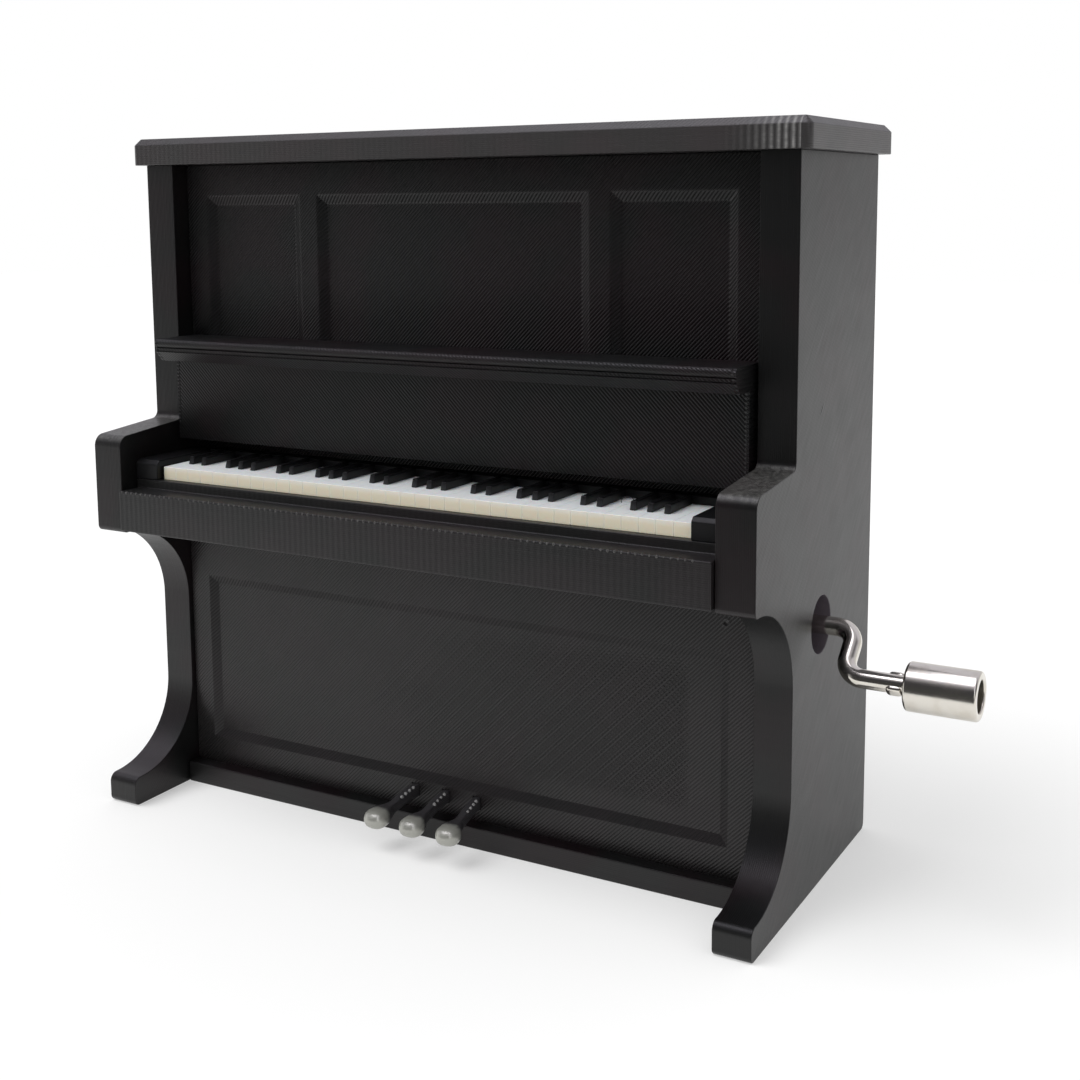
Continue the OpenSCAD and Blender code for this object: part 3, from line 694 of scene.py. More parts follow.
def corners(node: str) -> tuple[Vector, Vector]:
    """Returns the lowest and highest corner of a solid in millimetres."""
    low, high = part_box(node)
    return low / MM, high / MM


def pivot(joint: str) -> Vector:
    """Returns the place of a joint in millimetres."""
    places = {entry["name"]: entry["pos_m"] for entry in frame["joints"]}
    return Vector(places[joint]) / MM


# ---------------------------------------------------------------- finishes


@dataclass(frozen=True)
class BlackPrint:
    """Black printed plastic: beads of the raster on its flat faces and layer lines round its sides.

    Attributes:
        name: Name of the material.
        stack: Axis along which the layers lie on each other.
        slant: 1 where the raster rises along the first axis across the stack, and -1 where it falls.
        raster_depth: Depth of the joints between the beads.
        layer_depth: Depth of the joints between the layers.
        flat_from: How squarely a face looks along the stack where the raster starts and where it is full.
        bead_lot: Share of the relief that differs from bead to bead.
        layer_lot: Share of the relief that differs from layer to layer.
        waver: Share of the relief that wanders along the beads.
        tone: Colour on the crowns.
        warm: Colour that it drifts to in patches.
        joint_shade: Share of the colour that is lost in the joints.
        roughness: Roughness on the crowns.
        mottle: How much the roughness drifts.
        joint_dull: Roughness that the joints add.
        bevel_dull: Roughness that faces at a slant to the raster add.
        streaks: How much the roughness changes from one bundle of beads to the next.
        bundles: Bundles for each millimetre across and along the beads.
        ripple_pitch: Distance between the ripples along X on the sides.
        ripple_depth: Depth of those ripples.
        ripple_least: Share of the ripples that never fades.
        ripple_reach: Distance from the lid's right end over which they fade, or 0 for ripples all along.
        ripple_rest: Share of them that is left beyond it.
        ripple_shine: Share of a paler tone painted on the crowns of the ripples near that end, as a
            painted highlight.
        pale: That pale tone, which paints the highlights and the sheen.
        top_sheen: Share of the pale tone painted on the faces that look up, as the sheen that light from
            overhead gives them.
        top_sheen_z: Height from which that painted sheen shows in full.
        top_sheen_fade: Height over which it fades below.
        bore: Place along Y and Z and radius of a hole whose wall is paler, or None.
        bore_tone: Colour of that wall.
    """

    name: str
    stack: Axis = Axis.Y
    slant: float = 1.0
    raster_depth: float = 0.03
    layer_depth: float = 0.02
    flat_from: Flat = (0.5, 0.65)
    bead_lot: float = 0.4
    layer_lot: float = 0.8
    waver: float = 0.4
    tone: Colour = (0.0040, 0.0042, 0.0042)
    warm: Colour = (0.0075, 0.0036, 0.0046)
    joint_shade: float = 0.6
    roughness: float = 0.38
    mottle: float = 0.12
    joint_dull: float = 0.08
    bevel_dull: float = 0.0
    streaks: float = 0.0
    bundles: Flat = (1.8, 0.16)
    ripple_pitch: float = 1.1
    ripple_depth: float = 0.0
    ripple_least: float = 0.4
    ripple_reach: float = 0.0
    ripple_rest: float = 0.08
    ripple_shine: float = 0.0
    pale: Colour = (0.13, 0.128, 0.122)
    top_sheen: float = 0.0
    top_sheen_z: float = 50.0
    top_sheen_fade: float = 10.0
    bore: Point | None = None
    bore_tone: Colour = (0.095, 0.08, 0.095)

    def across(self, surface: Surface) -> Wire:
        """Returns the distance across the slanting beads."""
        first, second = self.stack.others()
        return (surface.at[second] - surface.at[first] * self.slant) / math.sqrt(2)

    def along(self, surface: Surface) -> Wire:
        """Returns the distance along the slanting beads."""
        first, second = self.stack.others()
        return (surface.at[second] + surface.at[first] * self.slant) / math.sqrt(2)

    def level(self, surface: Surface, low: float, high: float) -> Wire:
        """Returns a mask of the faces that look along the stack, from one cosine to another."""
        return surface.step(abs(surface.facing[self.stack.value]), low, high)

    def relief(self, surface: Surface) -> tuple[Wire, Wire]:
        """Works out the beads and the layers.

        Args:
            surface: The material under construction.

        Returns:
            The relief's height in millimetres and a mask that is 1 on crowns and 0 in joints.
        """
        beads, lot = surface.beads(self.across(surface), BEAD_W)
        waver = surface.noise(0.9, detail=3.0) * self.waver
        layers, layer_lot = surface.beads(surface.at[self.stack.value], LAYER_H)
        flat = self.level(surface, *self.flat_from)
        raster = (beads + lot * self.bead_lot + waver) * self.raster_depth
        sides = (layers + layer_lot * self.layer_lot + waver) * self.layer_depth
        if self.ripple_depth:
            sides = sides + self.ripples(surface) * self.ripple_depth
        crowns = flat * beads + (1 - flat) * layers
        return flat * raster + (1 - flat) * sides, crowns

    def ripples(self, surface: Surface) -> Wire:
        """Works out the machine's ringing along X.

        Args:
            surface: The material under construction.

        Returns:
            The ripples' height, from 0 to little more than 1.
        """
        wave = surface.math("SINE", surface.at["X"] * (math.tau / self.ripple_pitch))
        drift = surface.noise((0.8, 0.1, 1.8), cut=Slice.RIPPLES)
        shape = (wave * 0.5 + 0.5) * (self.ripple_least + drift)
        if not self.ripple_reach:
            return shape
        return shape * (self.ripple_rest + self.near_end(surface) * (1 - self.ripple_rest))

    def near_end(
        self, surface: Surface, chamfer: float = 1.3, full: float = 1.0, soft: float = 0.1
    ) -> Wire:
        """Masks the right end of the lid, up to its chamfer.

        Args:
            surface: The material under construction.
            chamfer: Width of the chamfer.
            full: Distance before it from which the mask is 1.
            soft: Half the width over which the mask stops there.

        Returns:
            The mask.
        """
        end = corners("top_lid")[1].x - chamfer
        rise = surface.step(surface.at["X"], end - self.ripple_reach, end - full)
        return rise * surface.step(surface.at["X"], end + soft, end - soft)

    def colour(self, surface: Surface, crowns: Wire) -> Wire:
        """Works out the colour, darker in the joints and drifting in broad patches, with painted
        highlights on the lid's ripples and painted sheen on faces that look up.

        Args:
            surface: The material under construction.
            crowns: The mask of the crowns.

        Returns:
            The colour.
        """
        patches = surface.step(surface.noise(0.09, detail=1.0, cut=Slice.PRINT_PATCHES), 0.4, 0.62)
        lit = surface.mix(patches, self.tone, self.warm)
        dark = tuple(c * (1 - self.joint_shade) for c in self.tone)
        shade = surface.mix(crowns ** 0.5, dark, lit)
        # The crowns of the ripples near the lid's right end are painted paler: a painted highlight.
        if self.ripple_shine:
            front = surface.step(surface.facing["Y"], -0.2, -0.6)
            glint = self.ripples(surface) ** 2 * self.near_end(surface) * front
            shade = surface.mix(glint * self.ripple_shine, shade, self.pale)
        if self.bore:
            shade = surface.mix(self.bore_wall(surface), shade, self.bore_tone)
        # Faces that look up are painted paler: a painted sheen from the light overhead.
        if self.top_sheen:
            shade = surface.mix(self.steps(surface) * self.top_sheen, shade, self.pale)
        return shade

    def bore_wall(self, surface: Surface, soft: float = 0.12) -> Wire:
        """Masks the wall of the bore.

        Args:
            surface: The material under construction.
            soft: Distance outside its edge where the mask ends.

        Returns:
            The mask.
        """
        middle_y, middle_z, radius = self.bore
        y, z = surface.at["Y"] - middle_y, surface.at["Z"] - middle_z
        return surface.step(y * y + z * z, (radius + soft) ** 2, radius**2)

    def steps(self, surface: Surface, least: float = 0.35) -> Wire:
        """Masks the faces that look up, well above the floor, with speckles, where the painted sheen goes.

        Args:
            surface: The material under construction.
            least: What the mask keeps between the speckles.

        Returns:
            The mask.
        """
        speckle = surface.step(surface.noise(1.8, detail=4.0, cut=Slice.SPECKLE), 0.35, 0.7)
        up = surface.step(surface.facing["Z"], 0.35, 0.8)
        up = up * surface.step(surface.at["Z"], self.top_sheen_z - self.top_sheen_fade, self.top_sheen_z)
        return up * (least + speckle * (1 - least))

    def dullness(self, surface: Surface, crowns: Wire) -> Wire:
        """Works out the roughness, which drifts and differs from one bundle of beads to the next.

        Args:
            surface: The material under construction.
            crowns: The mask of the crowns.

        Returns:
            The roughness.
        """
        gloss = surface.noise(0.25, detail=4.0, cut=Slice.GLOSS)
        rough = self.roughness + (gloss - 0.5) * self.mottle + (1 - crowns) * self.joint_dull
        if self.bevel_dull:
            rough = rough + (1 - self.level(surface, 0.8, 0.97)) * self.bevel_dull
        if self.streaks:
            across, along = self.bundles
            stretched = {0: self.across(surface) * across, 1: self.along(surface) * along}
            place = surface.node("ShaderNodeCombineXYZ", inputs=stretched)
            inputs = {"Vector": place, "Scale": 1.0, "Detail": 4.0}
            streak = surface.node("ShaderNodeTexNoise", inputs=inputs)
            rough = rough + (streak - 0.5) * self.streaks
        return rough

    def build(self, marks: Callable[[Surface], Wire] | None = None) -> bpy.types.Material:
        """Makes the material.

        Args:
            marks: Returns extra relief in millimetres, such as a scratch or a dent.

        Returns:
            The material.
        """
        surface = Surface(self.name)
        height, crowns = self.relief(surface)
        if marks:
            height = height + marks(surface)
        return surface.close(
            Base_Color=self.colour(surface, crowns),
            Roughness=self.dullness(surface, crowns),
            Normal=surface.bump(height),
            IOR=PRINT_IOR,
        )


@dataclass(frozen=True)
class WhitePrint:
    """White printed plastic whose fronts are painted a darker ivory as painted shade, with painted
    highlights along their joints and upper edge.

    Attributes:
        pitch: Distance between two keys.
        top: Colour of the keys' tops.
        front: Colour of their fronts, darker and warmer than the tops: painted shade.
        seam: Colour of the joints on the fronts, paler than the fronts: a painted highlight.
        lip: Colour of the fronts' upper edge, paler than the fronts: a painted highlight.
        wash: Share of the joints' and the edge's colour.
        seam_w: Distance from a joint at which its colour starts and where it is full.
        lip_z: Distance below the tops at which the edge's colour starts and where it is full.
        raster_depth: Depth of the joints between the beads.
        grain_depth: Depth of the grain.
    """

    pitch: float
    top: Colour = (0.80, 0.82, 0.84)
    front: Colour = (0.78, 0.71, 0.55)
    seam: Colour = (0.82, 0.77, 0.65)
    lip: Colour = (0.82, 0.80, 0.74)
    wash: float = 0.8
    seam_w: Flat = (0.26, 0.06)
    lip_z: Flat = (0.9, 0.1)
    raster_depth: float = 0.006
    grain_depth: float = 0.02

    def build(self) -> bpy.types.Material:
        """Makes the material.

        Returns:
            The material.
        """
        surface = Surface("white_keys_print")
        turns = surface.at["X"] / self.pitch
        gap = abs(surface.math("FRACT", turns + 0.5) - 0.5) * self.pitch
        seam = surface.step(gap, *self.seam_w)
        # Faces that do not look up get the front colour: painted shade.
        fronts = surface.step(surface.facing["Z"], 0.8, 0.3)
        high = corners("white_keys")[1].z
        lip = surface.step(surface.at["Z"], *(high - below for below in self.lip_z))
        # The joints and the upper edge of the fronts are painted paler: painted highlights.
        face = surface.mix(seam * self.wash, self.front, self.seam)
        face = surface.mix(lip * self.wash, face, self.lip)
        beads, _ = surface.beads((surface.at["Y"] + surface.at["X"]) / math.sqrt(2), BEAD_W)
        grain = surface.noise(1.2, detail=3.0)
        return surface.close(
            Base_Color=surface.mix(fronts, self.top, face),
            Roughness=0.42 + grain * 0.12,
            Normal=surface.bump(beads * self.raster_depth + grain * self.grain_depth),
            Subsurface_Weight=0.12,
            Subsurface_Scale=0.8 * MM,
            IOR=PRINT_IOR,
        )


@dataclass(frozen=True)
class GlossyBlack:
    """Black printed plastic of the small keys, with its front tips painted grey as a painted highlight.

    Attributes:
        name: Name of the material.
        front_y: Place of the front along Y.
        tone: Colour.
        tip: Colour of the tips: a painted highlight.
        tip_y: Distance behind the front at which a tip starts and where it is full.
        roughness: Roughness.
        layer_depth: Depth of the joints between the layers.
        grain_depth: Depth of the grain.
    """

    name: str
    front_y: float
    tone: Colour = (0.003, 0.003, 0.0034)
    tip: Colour = (0.03, 0.031, 0.033)
    tip_y: Flat = (0.4, 0.1)
    roughness: float = 0.36
    layer_depth: float = 0.001
    grain_depth: float = 0.004

    def build(self) -> bpy.types.Material:
        """Makes the material.

        Returns:
            The material.
        """
        surface = Surface(self.name)
        grain = surface.noise(1.6, detail=3.0)
        layers, lot = surface.beads(surface.at["Z"], LAYER_H)
        # The front tips are painted paler: a painted highlight.
        near = surface.step(surface.at["Y"], *(self.front_y + behind for behind in self.tip_y))
        return surface.close(
            Base_Color=surface.mix(near * (0.5 + grain * 0.5), self.tone, self.tip),
            Roughness=self.roughness + grain * 0.14,
            Normal=surface.bump(grain * self.grain_depth + (layers + lot) * self.layer_depth),
            IOR=1.38,
        )


@dataclass(frozen=True)
class ToePaint:
    """Black printed stem that fades into silver paint on the round toe.

    Attributes:
        stem: Colour of the stem, paler than the other black prints: painted sheen.
        silver: Colour of the paint.
        edge_y: Where the paint is full along Y.
        fade: Length over which it fades behind that.
        wander: How far its edge wanders.
        metallic: Share of metal in the paint.
        layer_depth: Depth of the joints between the stem's layers.
        grain_depth: Depth of the grain.
    """

    stem: Colour = (0.038, 0.036, 0.039)
    silver: Colour = (0.40, 0.40, 0.365)
    edge_y: float = -8.5
    fade: float = 1.5
    wander: float = 1.2
    metallic: float = 0.45
    layer_depth: float = 0.02
    grain_depth: float = 0.004

    def build(self) -> bpy.types.Material:
        """Makes the material.

        Returns:
            The material.
        """
        surface = Surface("painted_pedal_print")
        grain = surface.noise(1.4, detail=4.0)
        place = surface.at["Y"] + (grain - 0.5) * self.wander
        paint = surface.step(place, self.edge_y + self.fade, self.edge_y)
        layers, lot = surface.beads(surface.at["Z"], LAYER_H)
        relief = (layers + lot * 0.3) * self.layer_depth * (1 - paint) + grain * self.grain_depth
        return surface.close(
            # The stem's colour carries painted sheen; the silver on the toe is real paint.
            Base_Color=surface.mix(paint, self.stem, self.silver),
            Roughness=0.27 + grain * 0.05,
            Metallic=paint * self.metallic,
            Normal=surface.bump(relief),
            IOR=1.5,
        )


@dataclass(frozen=True)
class Metal:
    """Plated, cast or ground metal.

    Attributes:
        name: Name of the material.
        tone: Colour.
        dull: Colour of its duller patches.
        roughness: Roughness of the clean metal.
        dullness: Roughness that the patches add.
        lines: Axis along which fine tool marks are stacked, or None.
        line_pitch: Distance between the marks.
        line_depth: Depth of the marks.
        grain_depth: Depth of the cast or worn grain.
    """

    name: str
    tone: Colour
    dull: Colour
    roughness: float
    dullness: float = 0.1
    lines: Axis | None = None
    line_pitch: float = 0.08
    line_depth: float = 0.001
    grain_depth: float = 0.004

    def build(self) -> bpy.types.Material:
        """Makes the material.

        Returns:
            The material.
        """
        surface = Surface(self.name)
        patches = surface.step(surface.noise(0.35, detail=3.0, cut=Slice.METAL_PATCHES), 0.42, 0.68)
        height = surface.noise(2.0, detail=3.0) * self.grain_depth
        if self.lines:
            _, lot = surface.beads(surface.at[self.lines.value], self.line_pitch)
            height = height + lot * self.line_depth
        return surface.close(
            Base_Color=surface.mix(patches, self.tone, self.dull),
            Roughness=self.roughness + patches * self.dullness,
            Metallic=1.0,
            Normal=surface.bump(height),
        )


@dataclass(frozen=True)
class Nylon:
    """Natural moulded nylon of the gear.

    Attributes:
        tone: Colour.
        cloud: Share of the colour that is left in its darker clouds.
        grain_depth: Depth of the grain.
    """

    tone: Colour = (0.72, 0.70, 0.62)
    cloud: float = 0.9
    grain_depth: float = 0.004

    def build(self) -> bpy.types.Material:
        """Makes the material.

        Returns:
            The material.
        """
        surface = Surface("gear_nylon")
        clouds = surface.noise(0.3)
        return surface.close(
            Base_Color=surface.mix(clouds, self.tone, tuple(c * self.cloud for c in self.tone)),
            Roughness=0.4 + clouds * 0.15,
            Normal=surface.bump(surface.noise(3.0) * self.grain_depth),
            Subsurface_Weight=0.15,
            Subsurface_Scale=1.0 * MM,
        )


# ---------------------------------------------------------------- sub-assemblies


@dataclass
class Carcass:
    """The case: side panels, lid, front panels, base board and back cover.

    Attributes:
        rounding: Rounding of the printed edges.
        lid_rounding: Rounding of the lid's edges.
        hole_d: Diameter of the crank's hole.
        scratch: Place along Y and Z of the middle of the scratch on the right side.
        scratch_w: Half the width of the scratch along Y.
        scratch_l: Sum of Y and Z, from its middle, where it ends and where it is full.
        scratch_depth: How far the scratch stands out.
        dent: Middle of the small round mark on the lower front panel.
        dent_r: Radius of its rim and of its pit.
        dent_depth: Height of that rim and depth of that pit.
        pit_line: Distance between the rows of pits in the lower field.
        pit_pitch: Distance between two pits of a row.
        pit_depth: Depth of a pit.
        pit_wander: How far the edge of the strong pits wanders along X.
        pit_full: Place along X where they are full; they start at mid width.
        field_right: Distances from the panel's right end between which the pits fade in.
        field_foot: Distances from its lower edge between which they do.
        field_head: Distances from its upper edge between which they do.
    """

    rounding: float = 0.22
    lid_rounding: float = 0.4
    hole_d: float = 8.0
    scratch: Flat = (10.0, 66.7)
    scratch_w: float = 0.35
    scratch_l: Flat = (1.6, 0.4)
    scratch_depth: float = 0.06
    dent: Point = (44.4, 0.8, 38.8)
    dent_r: Flat = (0.9, 0.55)
    dent_depth: Flat = (0.05, 0.14)
    pit_line: float = 0.56
    pit_pitch: float = 0.64
    pit_depth: float = 0.12
    pit_wander: float = 40.0
    pit_full: float = 55.0
    field_right: Flat = (9.0, 11.0)
    field_foot: Flat = (8.0, 11.0)
    field_head: Flat = (11.0, 15.0)

    def scratch_relief(self, surface: Surface) -> Wire:
        """Draws the short slanting scratch.

        Args:
            surface: The material under construction.

        Returns:
            Its relief in millimetres.
        """
        y, z = surface.at["Y"] - self.scratch[0], surface.at["Z"] - self.scratch[1]
        line = surface.step(abs(y - z), self.scratch_w, 0.0)
        ends = surface.step(abs(y + z), *self.scratch_l)
        return line * ends * self.scratch_depth

    def front_marks(self, surface: Surface) -> Wire:
        """Draws the lower panel's rows of pits and its small round mark.

        Args:
            surface: The material under construction.

        Returns:
            Their relief in millimetres.
        """
        rim, pit = (surface.spot(self.dent, radius) for radius in self.dent_r)
        x, z = surface.at["X"], surface.at["Z"]
        rows, _ = surface.beads((z - x) / math.sqrt(2), self.pit_line)
        dots, _ = surface.beads((z + x) / math.sqrt(2), self.pit_pitch)
        pits = surface.step(rows * dots, 0.55, 0.9)
        wander = surface.noise(0.06, cut=Slice.PITS) * self.pit_wander
        strong = surface.step(x + wander, 0.0, self.pit_full)
        low, high = corners("lower_front_panel")
        inside = surface.step(x, *(high.x - reach for reach in self.field_right))
        inside = inside * surface.step(z, *(low.z + reach for reach in self.field_foot))
        inside = inside * surface.step(z, *(high.z - reach for reach in self.field_head))
        raised, sunk = self.dent_depth
        return rim * raised - pit * sunk - pits * strong * inside * self.pit_depth

    def build(self) -> None:
        """Dresses every board of the case."""
        side = BlackPrint(
            "side_panel_print",
            stack=Axis.X,
            raster_depth=0.008,
            layer_depth=0.012,
            joint_shade=0.3,
            waver=0.15,
            mottle=0.06,
            top_sheen=0.6,
            streaks=0.12,
        )
        flat = BlackPrint(
            "front_panel_print",
            raster_depth=0.07,
            joint_shade=0.9,
            joint_dull=0.4,
            roughness=0.26,
            bevel_dull=0.3,
        )
        # The lower panel is a paler copy of the front panels' print: painted reflection of the pale floor.
        lower = replace(
            flat,
            name="lower_panel_print",
            raster_depth=0.036,
            tone=(0.0100, 0.0088, 0.0090),
            warm=(0.0130, 0.0098, 0.0108),
        )
        # The lid's tone is lifted far above the other black prints as painted sheen, and its ripples near
        # the right end carry painted highlights.
        lid = BlackPrint(
            "lid_print",
            stack=Axis.Z,
            raster_depth=0.02,
            tone=(0.036, 0.034, 0.034),
            warm=(0.040, 0.034, 0.035),
            joint_shade=0.2,
            roughness=0.36,
            waver=0.2,
            ripple_pitch=0.95,
            ripple_depth=0.2,
            pale=(0.24, 0.235, 0.23),
            ripple_reach=12.0,
            ripple_shine=0.9,
        )
        # The base board's tone is paler than the other black prints: painted sheen.
        base = BlackPrint(
            "base_print",
            stack=Axis.Z,
            layer_depth=0.012,
            tone=(0.008, 0.008, 0.008),
            roughness=0.36,
            waver=0.15,
        )
        hole = pivot("crank_spin")
        bored = replace(side, bore=(hole.y, hole.z, self.hole_d / 2))
        self.dress("side_panel_left", replace(side, name="left_side_print").build())
        self.dress("side_panel_right", bored.build(self.scratch_relief))
        self.dress("top_lid", lid.build(), self.lid_rounding)
        self.dress("upper_front_panel", replace(flat, name="upper_panel_print").build())
        self.dress("lower_front_panel", lower.build(self.front_marks))
        self.dress("base_board", base.build())
        self.dress("back_cover", replace(flat, name="back_cover_print", slant=-1.0).build())

    def dress(self, node: str, finish: bpy.types.Material, width: float | None = None) -> None:
        """Dresses one board.

        Args:
            node: Its solid.
            finish: Its material.
            width: Rounding of its edges, or None for the usual one.
        """
        dressed(node, f"{node}_printed", Body.CASE, finish, width or self.rounding)


@dataclass
class Fallboard:
    """The fallboard over the keys, with its moulded rail.

    Attributes:
        rounding: Rounding of its edges.
        tick_pitch: Distance between the ends of the raster's turns along the plate's edge.
        tick_w: Width of the strip that they stand in.
        tick_depth: Depth of the joints between them.
    """

    rounding: float = 0.14
    tick_pitch: float = 0.594
    tick_w: float = 0.6
    tick_depth: float = 0.08

    def ticks(self, surface: Surface) -> Wire:
        """Draws the raster's turning points at both ends of the plate.

        Args:
            surface: The material under construction.

        Returns:
            Their relief in millimetres.
        """
        edge = corners("fallboard")[1].x
        strip = surface.step(abs(surface.at["X"]), edge - self.tick_w, edge - self.tick_w / 2)
        beads, _ = surface.beads(surface.at["Z"], self.tick_pitch)
        return strip * beads * self.tick_depth

    def build(self) -> None:
        """Dresses the fallboard."""
        plastic = BlackPrint(
            "fallboard_print", slant=-1.0, raster_depth=0.045, joint_dull=0.4, roughness=0.32
        )
        finish = plastic.build(self.ticks)
        dressed("fallboard", "fallboard_printed", Body.CASE, finish, self.rounding)


@dataclass
class Keybed:
    """The keybed with its apron, the printed drops along the apron's upper edge and the key blocks.

    Attributes:
        rounding: Rounding of the keybed's edges.
        block_rounding: Rounding of the blocks at both ends of the keys.
        speck: Colour painted on the blocks' fronts as a highlight.
        drop_pitch: Distance between two drops.
        drop_r: Radius of a drop.
        drop_sizes: Least and greatest size of a drop, as a share of that radius.
        sunk: Shares of that radius by which the drops sink into the apron, along Y and Z.
        ledge_z: Height of the apron's upper edge.
        margin: Distance of the outer drops from the ends.
        seed: Seed of the drops' sizes.
    """

    rounding: float = 0.2
    block_rounding: float = 0.16
    speck: Colour = (0.010, 0.010, 0.011)
    drop_pitch: float = 0.96
    drop_r: float = 0.24
    drop_sizes: Flat = (0.75, 1.1)
    sunk: Flat = (0.7, 0.6)
    ledge_z: float = 50.8
    margin: float = 0.6
    seed: int = 5

    def build(self) -> None:
        """Dresses the keybed, grows the drops and dresses the blocks."""
        # The keybed's tone is paler than the other black prints: painted sheen.
        bed = BlackPrint(
            "keybed_print",
            stack=Axis.Z,
            raster_depth=0.02,
            layer_depth=0.008,
            tone=(0.012, 0.012, 0.012),
            warm=(0.016, 0.013, 0.014),
            joint_shade=0.3,
            ripple_pitch=0.95,
            ripple_depth=0.018,
        )
        dressed("keybed", "keybed_printed", Body.CASE, bed.build(), self.rounding)
        # The drops are printed blobs painted a pale grey: painted glints.
        painted_glint = BlackPrint(
            "drops_print", tone=(0.07, 0.068, 0.066), warm=(0.05, 0.047, 0.047), roughness=0.3
        ).build()
        settle(self.drops(painted_glint), Body.CASE, [], painted_glint)
        front_y = corners("key_block_left")[0].y
        # The blocks' fronts are painted paler: a painted highlight.
        block = GlossyBlack("key_block_print", front_y, tip=self.speck)
        for node in ("key_block_left", "key_block_right"):
            finish = block.build()
            dressed(node, f"{node}_printed", Body.CASE, finish, self.block_rounding)

    def drops(self, finish: bpy.types.Material) -> bpy.types.Object:
        """Grows the row of printed drops along the apron's upper edge, painted pale as glints.

        Args:
            finish: Its material.

        Returns:
            The row.
        """
        low, high = corners("keybed")
        recipe = Recipe("row_of_drops")
        recipe.close(recipe.balls(recipe.line(), self.drop_sizes))
        back, down = (share * self.drop_r for share in self.sunk)
        return recipe.grow(
            "keybed_drops",
            finish,
            Count=int((high.x - low.x - 2 * self.margin) / self.drop_pitch),
            Start=Vector((low.x + self.margin, low.y + back, self.ledge_z - down)) * MM,
            Step=Vector((self.drop_pitch * MM, 0, 0)),
            Radius=self.drop_r * MM,
            Seed=self.seed,
        )


